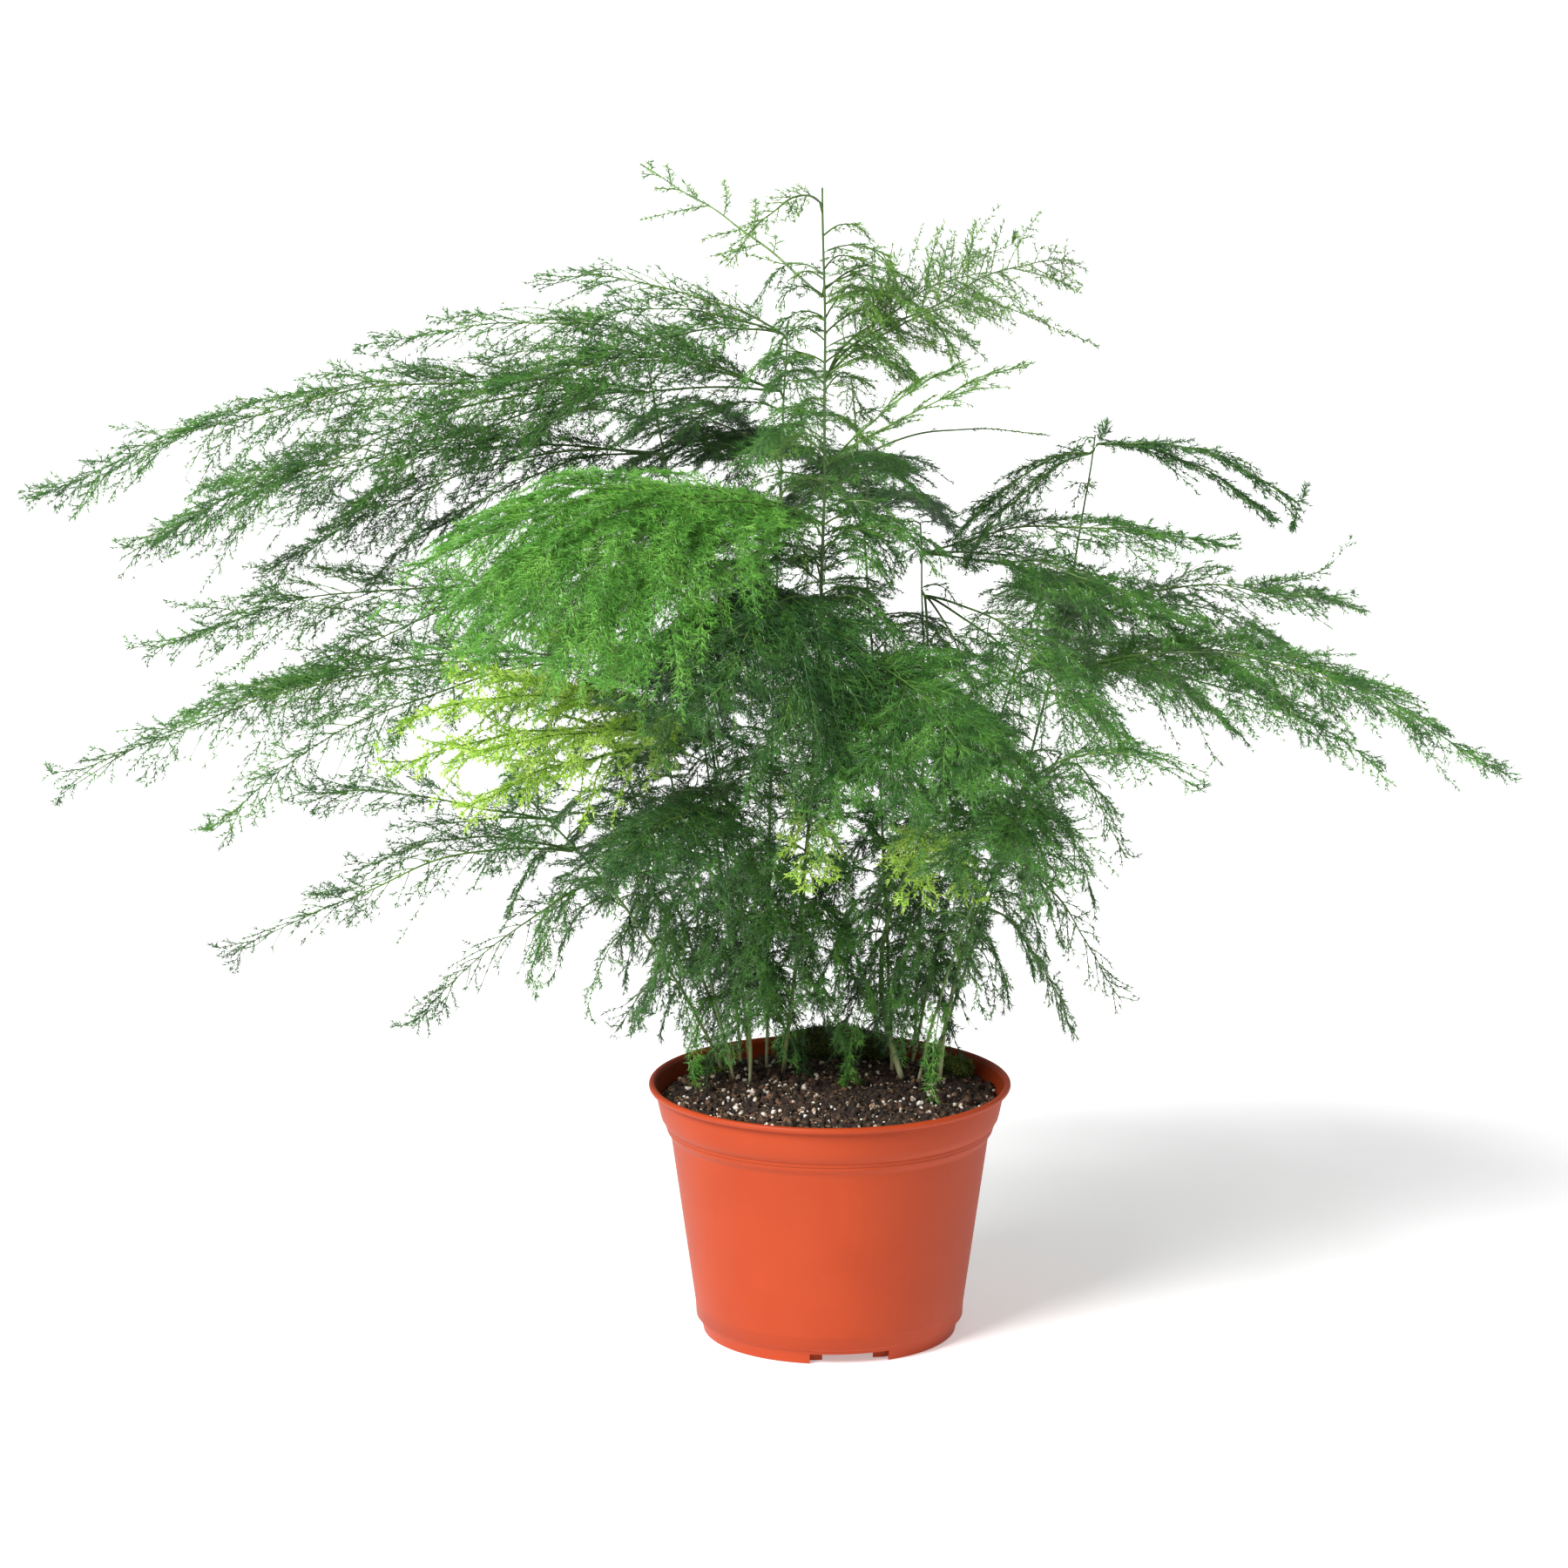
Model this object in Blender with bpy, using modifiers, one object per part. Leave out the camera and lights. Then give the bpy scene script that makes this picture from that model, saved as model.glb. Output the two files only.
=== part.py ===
"""Potted asparagus fern: a moulded nursery pot, its potting mix and moss, wiry canes and flat fronds.

Heights of the canes and fronds are measured up from the crown, where the canes leave the mix.
All the pieces hang from one empty, which puts the middle of the whole plant over the origin.
"""

import math
from collections import namedtuple

import bmesh
import bpy
from mathutils import Matrix, Vector

MM = 0.001
GAP = 0.3 * MM  # air left between two pieces that touch

# Pot: thin injection-moulded plastic, with a lip, a collar and a notched foot
POT_HEIGHT = 110 * MM
RIM_RADIUS = 77.5 * MM
WALL = 1.3 * MM
LIP_HEIGHT = 2.8 * MM
LIP_OVERHANG = 1.4 * MM
COLLAR_HEIGHT = 13 * MM
COLLAR_DRAFT = 2.4 * MM
SHOULDER_HEIGHT = 11 * MM
SHOULDER_INSET = 6.4 * MM
SHOULDER_STEPS = 3
BASE_RADIUS = 55.5 * MM
FLOOR_HEIGHT = 4.8 * MM
FOOT_GROOVE = 3.6 * MM
NOTCH_COUNT = 3
NOTCH_WIDTH = 34 * MM
INNER_NOTCH_WIDTH = 16 * MM
NOTCH_HEIGHT = 4.2 * MM
FIRST_NOTCH_ANGLE = math.radians(-81)
DRAIN_COUNT = 6
DRAIN_RADIUS = 4 * MM
DRAIN_RING_RADIUS = 34 * MM
DRAIN_SIDES = 12
POT_SIDES = 40
MERGE_DISTANCE = 0.01 * MM  # under this, points on the axis of a turned solid become one

# Potting mix: a low mound that fills the pot
MIX_BELOW_RIM = 9 * MM
MIX_CROWN = 8.5 * MM
MIX_DOME_STEPS = 4
CUT_CLEARANCE = 2 * MM  # how far a cutter runs past the surface it cuts

# Canes and fronds
CANE_BURIED = 18 * MM
CANE_HOLE_CLEARANCE = 0.45 * MM
CANE_HOLE_SIDES = 10
CANE_STRAIGHT = 3 * MM
CANE_STEPS = 8
CANE_RESOLUTION = 2
CANE_TAPER = 0.5  # a cane's tip radius, as a share of its foot's
FROND_THICKNESS = 1.4 * MM
FROND_STALK = 1.1 * MM  # half the width of a frond where it leaves its cane
FROND_STEPS = 8
FROND_STRIPS = 4
FROND_FULLEST = 0.7  # under 1 puts the widest part of a frond nearer its cane
FROND_POINT = 1.2  # over 1 draws both ends of a frond out thinner

Moss = namedtuple("Moss", "name x y length width height")
MOSSES = [
    Moss("moss_back", 2, 54, 27, 13, 14),
    Moss("moss_left", -50, 34, 9, 7, 7),
    Moss("moss_right", 53, 33, 9, 7, 7),
]

# foot, middle and top are x, y in mm; rise and mid are heights over the crown in mm
Cane = namedtuple("Cane", "name radius foot middle mid top rise")
CANES = [
    Cane("cane_main", 1.0, (-20, 13), (-9, -26), 122, (-4, -44), 390),
    Cane("cane_left_1", 0.8, (-41, 4), (-60, 0), 90, (-74, -6), 186),
    Cane("cane_left_2", 0.8, (-34, 2), (-38, -18), 85, (-50, -40), 162),
    Cane("cane_left_3", 0.8, (-40, 13), (-84, 34), 118, (-126, 50), 222),
    Cane("cane_left_4", 0.8, (-34, 21), (-54, 44), 160, (-78, 66), 299),
    Cane("cane_left_5", 0.8, (-27, 24), (-24, 36), 170, (-18, 44), 322),
    Cane("cane_left_6", 0.75, (-45, 11), (-78, -22), 70, (-126, -60), 138),
    Cane("cane_left_7", 0.75, (-38, 29), (-52, 84), 110, (-66, 128), 196),
    Cane("cane_right_1", 1.4, (31, 4), (22, 0), 56, (44, -34), 120),
    Cane("cane_right_2", 1.1, (47, 8), (62, 10), 70, (98, 6), 142),
    Cane("cane_right_3", 0.75, (43, 18), (82, 30), 120, (112, 26), 276),
    Cane("cane_right_4", 0.8, (27, 18), (20, 20), 150, (9, 16), 298),
    Cane("cane_right_5", 0.75, (36, 22), (40, 26), 130, (38, 18), 240),
    Cane("cane_right_6", 0.75, (38, 5), (62, -26), 90, (86, -58), 154),
    Cane("cane_right_7", 0.75, (36, 30), (64, 66), 110, (92, 102), 190),
]

# height is where the frond leaves its cane; tip is x, y and height; all in mm
# lift raises the middle of the arch; bank tilts the frond about its rib; cup is how far its edges hang
Frond = namedtuple("Frond", "name cane height tip lift half_width bank cup")
FRONDS = [
    Frond("frond_top_left", "cane_main", 345, (-78, 24, 393), 6, 20, 20, 2),
    Frond("frond_top_hook", "cane_main", 384, (-44, -86, 364), 14, 9, 0, 2),
    Frond("frond_top_right", "cane_main", 312, (104, 50, 346), 14, 38, 52, 3),
    Frond("frond_top_low", "cane_main", 276, (82, -86, 324), 6, 18, 0, 4),
    Frond("frond_whip", "cane_right_4", 268, (92, 16, 278), 8, 4, 0, 0),
    Frond("frond_upper_left_1", "cane_left_5", 316, (-118, 44, 350), 12, 20, 0, 4),
    Frond("frond_upper_left_2", "cane_left_5", 292, (-192, 30, 314), 20, 30, 0, 12),
    Frond("frond_upper_left_3", "cane_left_4", 288, (-335, -4, 240), 35, 36, 0, 16),
    Frond("frond_upper_left_4", "cane_left_4", 262, (-290, 58, 222), 26, 34, 0, 14),
    Frond("frond_upper_back", "cane_left_5", 262, (-84, 150, 258), 14, 32, 0, 10),
    Frond("frond_left_1", "cane_left_3", 206, (-288, -4, 190), 14, 34, 0, 14),
    Frond("frond_left_2", "cane_left_3", 176, (-312, -56, 146), 22, 36, 0, 14),
    Frond("frond_left_low_1", "cane_left_6", 128, (-220, -74, 142), 6, 22, 0, 5),
    Frond("frond_left_low_2", "cane_left_6", 112, (-244, -104, 82), 20, 28, 0, 8),
    Frond("frond_left_low_3", "cane_left_1", 92, (-176, -40, 38), 24, 14, 0, 4),
    Frond("frond_left_low_4", "cane_left_1", 54, (-92, 6, 22), 10, 9, 0, 2),
    Frond("frond_young_left", "cane_left_2", 158, (-172, -104, 184), 10, 16, 0, 4),
    Frond("frond_young_spike", "cane_left_1", 176, (-128, -56, 210), 4, 6, 0, 1),
    Frond("frond_bright_1", "cane_main", 252, (-172, -104, 236), 26, 54, 0, 30),
    Frond("frond_bright_2", "cane_main", 212, (-54, -158, 190), 26, 44, 0, 18),
    Frond("frond_middle_1", "cane_main", 180, (66, -154, 160), 30, 50, 0, 20),
    Frond("frond_middle_2", "cane_right_5", 208, (124, -88, 182), 14, 36, 0, 12),
    Frond("frond_middle_3", "cane_right_6", 146, (146, -104, 148), 12, 30, 0, 8),
    Frond("frond_middle_4", "cane_right_6", 126, (70, -150, 134), 14, 34, 0, 12),
    Frond("frond_front_left", "cane_left_2", 124, (-84, -128, 122), 14, 24, 0, 8),
    Frond("frond_young_right", "cane_right_1", 112, (34, -104, 106), 14, 16, 0, 5),
    Frond("frond_young_middle", "cane_main", 116, (-8, -84, 104), 14, 14, 0, 4),
    Frond("frond_right_arch_1", "cane_right_3", 272, (194, 6, 250), 10, 16, 0, 4),
    Frond("frond_right_arch_2", "cane_right_3", 268, (52, -2, 238), 10, 15, 0, 3),
    Frond("frond_right_flat", "cane_right_5", 226, (168, -2, 232), 12, 20, 0, 5),
    Frond("frond_right_1", "cane_right_3", 196, (224, 54, 196), 16, 36, -10, 8),
    Frond("frond_right_2", "cane_right_3", 168, (286, -10, 140), 34, 26, 0, 6),
    Frond("frond_right_3", "cane_right_2", 134, (124, -24, 104), 20, 18, 0, 5),
    Frond("frond_right_low_1", "cane_right_2", 98, (124, -6, 36), 14, 12, 0, 3),
    Frond("frond_right_low_2", "cane_right_2", 74, (104, 26, 16), 14, 10, 0, 2),
    Frond("frond_back_1", "cane_left_7", 188, (-132, 200, 160), 24, 38, 0, 10),
    Frond("frond_back_2", "cane_left_7", 168, (-20, 204, 140), 22, 34, 0, 10),
    Frond("frond_back_3", "cane_right_7", 184, (118, 198, 150), 22, 36, 0, 10),
    Frond("frond_back_4", "cane_right_7", 160, (206, 112, 138), 22, 32, 0, 10),
    Frond("frond_back_5", "cane_right_4", 236, (20, 172, 232), 22, 36, 0, 10),
]

FINISHES = {  # base colour, roughness
    "pot": ((0.80, 0.16, 0.06), 0.45),
    "mix": ((0.030, 0.018, 0.012), 0.95),
    "moss": ((0.07, 0.11, 0.02), 0.9),
    "cane": ((0.16, 0.28, 0.07), 0.55),
    "frond": ((0.03, 0.17, 0.035), 0.5),
    "young_frond": ((0.30, 0.58, 0.07), 0.5),
}


def finish(name):
    """The material of that name, made the first time it is asked for."""
    material = bpy.data.materials.get(name)
    if material:
        return material
    colour, roughness = FINISHES[name]
    material = bpy.data.materials.new(name)
    material.use_nodes = True
    shader = material.node_tree.nodes["Principled BSDF"]
    shader.inputs["Base Color"].default_value = (*colour, 1)
    shader.inputs["Roughness"].default_value = roughness
    shader.inputs["Metallic"].default_value = 0
    return material


def new_object(name, data, collection, parent):
    made = bpy.data.objects.new(name, data)
    collection.objects.link(made)
    made.parent = parent
    return made


def turned(name, profile, collection, parent):
    """A solid turned about the pot's axis from its profile, which ends on the axis at both ends."""
    mesh = bpy.data.meshes.new(name)
    edges = [(i, i + 1) for i in range(len(profile) - 1)]
    mesh.from_pydata([(radius, 0, height) for radius, height in profile], edges, [])
    made = new_object(name, mesh, collection, parent)
    screw = made.modifiers.new("turn", "SCREW")
    screw.steps = screw.render_steps = POT_SIDES
    screw.use_merge_vertices = True
    screw.merge_threshold = MERGE_DISTANCE
    return made


def cut(target, cutter):
    boolean = target.modifiers.new(cutter.name, "BOOLEAN")
    boolean.operation = "DIFFERENCE"
    boolean.object = cutter
    cutter.display_type = "WIRE"
    cutter.hide_render = True


def block(name, size, place, turn, collection, parent):
    mesh = bpy.data.meshes.new(name)
    shape = bmesh.new()
    bmesh.ops.create_cube(shape, size=1, matrix=Matrix.Diagonal((*size, 1)))
    shape.to_mesh(mesh)
    shape.free()
    made = new_object(name, mesh, collection, parent)
    made.location = place
    made.rotation_euler.z = turn
    return made


def post(name, radius, low, high, x, y, sides, collection, parent):
    """An upright cylinder between two heights."""
    mesh = bpy.data.meshes.new(name)
    shape = bmesh.new()
    bmesh.ops.create_cone(
        shape, cap_ends=True, segments=sides, radius1=radius, radius2=radius, depth=high - low
    )
    shape.to_mesh(mesh)
    shape.free()
    made = new_object(name, mesh, collection, parent)
    made.location = (x, y, (low + high) / 2)
    return made


def pot_outside():
    """The pot's outer outline from the lip down to the foot, as radius and height."""
    collar = RIM_RADIUS - LIP_OVERHANG
    ledge = collar - COLLAR_DRAFT
    ledge_height = POT_HEIGHT - LIP_HEIGHT - COLLAR_HEIGHT
    outline = [(RIM_RADIUS, POT_HEIGHT), (RIM_RADIUS, POT_HEIGHT - LIP_HEIGHT)]
    outline.append((collar, POT_HEIGHT - LIP_HEIGHT))
    for step in range(SHOULDER_STEPS + 1):
        part = step / SHOULDER_STEPS
        inset = SHOULDER_INSET * (1 - math.cos(math.pi * part)) / 2
        outline.append((ledge - inset, ledge_height - SHOULDER_HEIGHT * part))
    outline.append((BASE_RADIUS, 0))
    return outline


def pot_inside():
    """The pot's inner outline from the rim down to the raised floor."""
    outline = pot_outside()
    top = outline[2][0] - WALL
    inside = [(top, POT_HEIGHT)]
    inside += [(radius - WALL, height) for radius, height in outline[3:-1]]
    wall_top = inside[-1]
    floor = FLOOR_HEIGHT + WALL
    share = (wall_top[1] - floor) / wall_top[1]
    inside.append((wall_top[0] + (BASE_RADIUS - WALL - wall_top[0]) * share, floor))
    return inside


def inside_radius(height):
    """The pot's inner radius at a height, along the straight runs of its outline."""
    outline = pot_inside()
    for (r1, z1), (r2, z2) in zip(outline, outline[1:]):
        if z2 <= height <= z1:
            return r2 + (r1 - r2) * (height - z2) / (z1 - z2)
    raise ValueError("that height is outside the pot")


def make_pot(parts, cutters, plant):
    floor = FLOOR_HEIGHT + WALL
    skirt = BASE_RADIUS - WALL - FOOT_GROOVE
    profile = [(0, floor)] + pot_inside()[::-1] + pot_outside()
    profile += [(BASE_RADIUS - WALL, 0), (BASE_RADIUS - WALL, FLOOR_HEIGHT), (skirt, FLOOR_HEIGHT)]
    profile += [(skirt, 0), (skirt - WALL, 0), (skirt - WALL, FLOOR_HEIGHT), (0, FLOOR_HEIGHT)]
    pot = turned("pot", profile, parts, plant)
    pot.data.materials.append(finish("pot"))
    rings = (("outer", BASE_RADIUS, NOTCH_WIDTH), ("inner", skirt, INNER_NOTCH_WIDTH))
    for index in range(NOTCH_COUNT):
        angle = FIRST_NOTCH_ANGLE + math.tau * index / NOTCH_COUNT
        for ring, outside, width in rings:
            # the cut runs from the wall's inner face at its corners out past the ring
            corner = math.sqrt((outside - WALL) ** 2 - (width / 2) ** 2)
            near = corner - GAP
            far = outside + GAP if ring == "inner" else outside + CUT_CLEARANCE
            size = (far - near, width, NOTCH_HEIGHT + CUT_CLEARANCE)
            middle = (near + far) / 2
            low = NOTCH_HEIGHT - size[2] / 2
            place = (middle * math.cos(angle), middle * math.sin(angle), low)
            cut(pot, block(f"notch_{ring}_{index + 1}", size, place, angle, cutters, plant))
    for index in range(DRAIN_COUNT):
        angle = FIRST_NOTCH_ANGLE + math.tau * (index + 0.5) / DRAIN_COUNT
        x, y = DRAIN_RING_RADIUS * math.cos(angle), DRAIN_RING_RADIUS * math.sin(angle)
        low, high = FLOOR_HEIGHT - CUT_CLEARANCE, floor + CUT_CLEARANCE
        name = f"drain_{index + 1}"
        cut(pot, post(name, DRAIN_RADIUS, low, high, x, y, DRAIN_SIDES, cutters, plant))


def mix_edge():
    """Height and radius of the mix where it meets the pot."""
    height = POT_HEIGHT - MIX_BELOW_RIM
    return height, inside_radius(height) - GAP


def mix_top(radius, lift=0.0):
    """Height of the mound at a distance from the pot's axis."""
    height, edge = mix_edge()
    return height + MIX_CROWN * (1 - (radius / edge) ** 2) + lift


def crown_height():
    return mix_top(0)


def mound(lift):
    """The mound's outline from the axis out to the pot, raised by lift."""
    edge = mix_edge()[1]
    radii = [edge * step / MIX_DOME_STEPS for step in range(MIX_DOME_STEPS + 1)]
    return [(radius, mix_top(radius, lift)) for radius in radii]


def make_mix(parts, cutters, plant):
    height, _ = mix_edge()
    bottom = FLOOR_HEIGHT + WALL + GAP
    walls = [(r - GAP, z) for r, z in pot_inside() if bottom < z < height]
    profile = mound(0) + walls + [(inside_radius(bottom) - GAP, bottom), (0, bottom)]
    mix = turned("potting_mix", profile, parts, plant)
    mix.data.materials.append(finish("mix"))
    for cane in CANES:
        x, y = cane.foot[0] * MM, cane.foot[1] * MM
        low = crown_height() - CANE_BURIED - GAP
        high = crown_height() + CUT_CLEARANCE
        radius = cane.radius * MM + CANE_HOLE_CLEARANCE
        name = f"hole_{cane.name}"
        cut(mix, post(name, radius, low, high, x, y, CANE_HOLE_SIDES, cutters, plant))


def make_moss(moss, parts, cutters, plant):
    """A cushion that lies on the mound: a flattened ball with the mound's shape cut from its underside."""
    mesh = bpy.data.meshes.new(moss.name)
    shape = bmesh.new()
    bmesh.ops.create_icosphere(shape, subdivisions=2, radius=1)
    size = Vector((moss.length, moss.width, moss.height)) * MM
    bmesh.ops.scale(shape, vec=size, verts=shape.verts)
    shape.to_mesh(mesh)
    shape.free()
    x, y = moss.x * MM, moss.y * MM
    cushion = new_object(moss.name, mesh, parts, plant)
    cushion.location = (x, y, mix_top(math.hypot(x, y)))
    cushion.data.materials.append(finish("moss"))
    cut(cushion, bpy.data.objects["mound_clearance"])


def make_mound_clearance(cutters, plant):
    edge = mix_edge()[1]
    low = FLOOR_HEIGHT
    made = turned("mound_clearance", mound(GAP) + [(edge, low), (0, low)], cutters, plant)
    made.display_type = "WIRE"
    made.hide_render = True


def cane_at(cane, height):
    """A cane's place at a height over the crown in mm, on the parabola through its three points."""
    a, b = cane.mid, cane.rise
    foot, middle, top = (Vector(p) for p in (cane.foot, cane.middle, cane.top))
    if height <= 0:
        return Vector((*foot, height)) * MM + Vector((0, 0, crown_height()))
    flat = foot * (height - a) * (height - b) / (a * b)
    flat += middle * height * (height - b) / (a * (a - b))
    flat += top * height * (height - a) / (b * (b - a))
    return Vector((*flat, height)) * MM + Vector((0, 0, crown_height()))


def cane_radius(cane, height):
    share = min(max(height / cane.rise, 0), 1)
    return cane.radius * MM * (1 - (1 - CANE_TAPER) * share)


def make_cane(cane, parts, plant):
    curve = bpy.data.curves.new(cane.name, "CURVE")
    curve.dimensions = "3D"
    curve.bevel_depth = 1
    curve.bevel_resolution = CANE_RESOLUTION
    curve.use_fill_caps = True
    straight = CANE_STRAIGHT / MM
    heights = [-CANE_BURIED / MM, 0]
    heights += [
        straight + (cane.rise - straight) * step / CANE_STEPS for step in range(CANE_STEPS + 1)
    ]
    line = curve.splines.new("POLY")
    line.points.add(len(heights) - 1)
    for point, height in zip(line.points, heights):
        point.co = (*cane_at(cane, height), 1)
        point.radius = cane_radius(cane, height)
    made = new_object(cane.name, curve, parts, plant)
    made.data.materials.append(finish("cane"))


def frond_spine(frond):
    """The frond's rib: its start beside the cane, the control point of its arch, and its tip."""
    cane = next(c for c in CANES if c.name == frond.cane)
    joint = cane_at(cane, frond.height)
    tip = Vector(frond.tip) * MM + Vector((0, 0, crown_height()))
    lean = (cane_at(cane, frond.height + 1) - cane_at(cane, frond.height - 1)).xy.length / (2 * MM)
    away = Vector((*(tip - joint).xy.normalized(), 0))
    stand_off = cane_radius(cane, frond.height) * math.hypot(1, lean) + GAP
    start = joint + away * (stand_off + FROND_THICKNESS / 2 * (1 + lean))
    control = (start + tip) / 2 + Vector((0, 0, 2 * frond.lift * MM))
    return start, control, tip


def make_frond(frond, parts, plant):
    """One flat frond: a grid laid along the arching rib, wide near the cane and drawn to a point."""
    start, control, tip = frond_spine(frond)
    mesh = bpy.data.meshes.new(frond.name)
    shape = bmesh.new()
    bmesh.ops.create_grid(shape, x_segments=FROND_STEPS, y_segments=FROND_STRIPS, size=0.5)
    for vert in shape.verts:
        along, across = vert.co.x + 0.5, vert.co.y * 2
        place = start * (1 - along) ** 2 + control * 2 * along * (1 - along) + tip * along**2
        forward = ((control - start) * (1 - along) + (tip - control) * along).normalized()
        side = forward.cross(Vector((0, 0, 1))).normalized()
        side.rotate(Matrix.Rotation(math.radians(frond.bank), 3, forward))
        up = side.cross(forward)
        fullness = math.sin(math.pi * min(along, 1) ** FROND_FULLEST)
        swell = max(fullness, 0) ** FROND_POINT
        width = FROND_STALK + (frond.half_width * MM - FROND_STALK) * swell
        vert.co = place + side * across * width - up * frond.cup * MM * swell * across**2
    shape.to_mesh(mesh)
    shape.free()
    made = new_object(frond.name, mesh, parts, plant)
    made.data.materials.append(finish("young_frond" if "young" in frond.name else "frond"))
    thicken = made.modifiers.new("thickness", "SOLIDIFY")
    thicken.thickness = FROND_THICKNESS
    thicken.offset = 0


def centre_over_origin(parts, plant):
    """Moves the whole plant so that its bounding box is centred over the origin."""
    bpy.context.view_layer.update()
    graph = bpy.context.evaluated_depsgraph_get()
    corners = []
    for piece in parts.objects:
        seen = piece.evaluated_get(graph)
        mesh = seen.to_mesh()
        corners += [seen.matrix_world @ vert.co for vert in mesh.vertices]
        seen.to_mesh_clear()
    for axis in (0, 1):
        values = [corner[axis] for corner in corners]
        plant.location[axis] = -(min(values) + max(values)) / 2
    bpy.context.view_layer.update()


def main():
    for old in list(bpy.data.objects):
        bpy.data.objects.remove(old)
    parts = bpy.data.collections.new("potted_asparagus_fern")
    cutters = bpy.data.collections.new("cutters")
    for collection in (parts, cutters):
        bpy.context.scene.collection.children.link(collection)
    plant = bpy.data.objects.new("plant", None)
    bpy.context.scene.collection.objects.link(plant)
    make_pot(parts, cutters, plant)
    make_mix(parts, cutters, plant)
    make_mound_clearance(cutters, plant)
    for moss in MOSSES:
        make_moss(moss, parts, cutters, plant)
    for cane in CANES:
        make_cane(cane, parts, plant)
    for frond in FRONDS:
        make_frond(frond, parts, plant)
    centre_over_origin(parts, plant)


main()
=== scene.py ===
import math

import bmesh
import bpy
import numpy as np
from mathutils import Matrix, Vector


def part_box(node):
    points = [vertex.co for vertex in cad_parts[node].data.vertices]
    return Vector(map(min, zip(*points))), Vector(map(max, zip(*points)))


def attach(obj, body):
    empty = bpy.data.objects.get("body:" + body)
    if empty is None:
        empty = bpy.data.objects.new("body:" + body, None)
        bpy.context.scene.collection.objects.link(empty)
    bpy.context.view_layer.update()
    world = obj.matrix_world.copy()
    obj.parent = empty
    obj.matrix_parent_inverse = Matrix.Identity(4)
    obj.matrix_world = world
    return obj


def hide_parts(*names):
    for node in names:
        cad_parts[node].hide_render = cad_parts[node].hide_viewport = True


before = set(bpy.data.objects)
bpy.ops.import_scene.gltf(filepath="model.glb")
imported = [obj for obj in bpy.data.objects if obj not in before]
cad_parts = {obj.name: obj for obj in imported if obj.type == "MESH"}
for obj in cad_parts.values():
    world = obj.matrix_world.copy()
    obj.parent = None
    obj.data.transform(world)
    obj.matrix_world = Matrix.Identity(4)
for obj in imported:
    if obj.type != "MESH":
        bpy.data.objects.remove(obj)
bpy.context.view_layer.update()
MM = 0.001

# ------------------------------------------------------------------------------
# The nursery pot: one thin injection moulding in terracotta-orange polypropylene, with a rolled
# lip, a plain collar, a double ledge line where the collar turns in, and a notched foot ring.
# It is turned from one outline and the notches are cut through the ring, as the mould leaves them.
# ------------------------------------------------------------------------------
pot_low, pot_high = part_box("pot")
pot_x, pot_y = (pot_low.x + pot_high.x) / 2, (pot_low.y + pot_high.y) / 2
pot_height = pot_high.z
rim_radius = (pot_high.x - pot_low.x) / 2
pot_wall = 1.3 * MM
pot_foot_radius = 54.4 * MM
pot_floor = 4.8 * MM
pot_sides = 192
lip_roll = 1.35 * MM  # radius of the rolled lip
collar_radius = rim_radius - 2.6 * MM
ledge_radius = collar_radius - 4.2 * MM
ledge_drop = 17.4 * MM  # from the rim down to the ledge lines
ledge_line = 0.28 * MM  # depth of the two fine ledge lines
shoulder_inset, shoulder_height = 2.1 * MM, 4.4 * MM
wall_foot = (57.2 * MM, 9 * MM)  # radius and height of the wall's lower end
skirt_gap = 3 * MM  # between the foot ring and the second ring inside it
notch_count = 3
first_notch = math.radians(-81)
notch_height = 4.7 * MM
foot_notch_width, skirt_notch_width = 34 * MM, 16 * MM


def new_object(name, data):
    thing = bpy.data.objects.new(name, data)
    bpy.context.scene.collection.objects.link(thing)
    return thing


def new_piece(name, mesh, slot, *nodes):
    """A finished piece that rides on the one body and stands for its nodes; its slot is not used."""
    piece = new_object(name, mesh)
    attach(piece, "root")
    if nodes:
        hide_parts(*nodes)
    return piece


def turned_mesh(name, outline, sides):
    """A solid of revolution about the pot's axis. The outline starts and ends on the axis."""
    shape = bmesh.new()
    rings = []
    for radius, height in outline:
        if radius == 0:
            rings.append([shape.verts.new((pot_x, pot_y, height))])
            continue
        ring = []
        for side in range(sides):
            angle = math.tau * side / sides
            place = (pot_x + radius * math.cos(angle), pot_y + radius * math.sin(angle), height)
            ring.append(shape.verts.new(place))
        rings.append(ring)
    for upper, lower in zip(rings, rings[1:]):
        for side in range(sides):
            after = (side + 1) % sides
            corners = [upper[side % len(upper)], lower[side % len(lower)]]
            if len(lower) > 1:
                corners.append(lower[after])
            if len(upper) > 1:
                corners.append(upper[after])
            shape.faces.new(corners)
    bmesh.ops.recalc_face_normals(shape, faces=shape.faces)
    mesh = bpy.data.meshes.new(name)
    shape.to_mesh(mesh)
    shape.free()
    mesh.polygons.foreach_set("use_smooth", [True] * len(mesh.polygons))
    return mesh


def arc(centre, radius, start, end, steps):
    """Points on an arc in the outline's plane, with the angles in degrees."""
    points = []
    for step in range(steps + 1):
        angle = math.radians(start + (end - start) * step / steps)
        points.append((centre[0] + radius * math.cos(angle), centre[1] + radius * math.sin(angle)))
    return points


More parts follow.
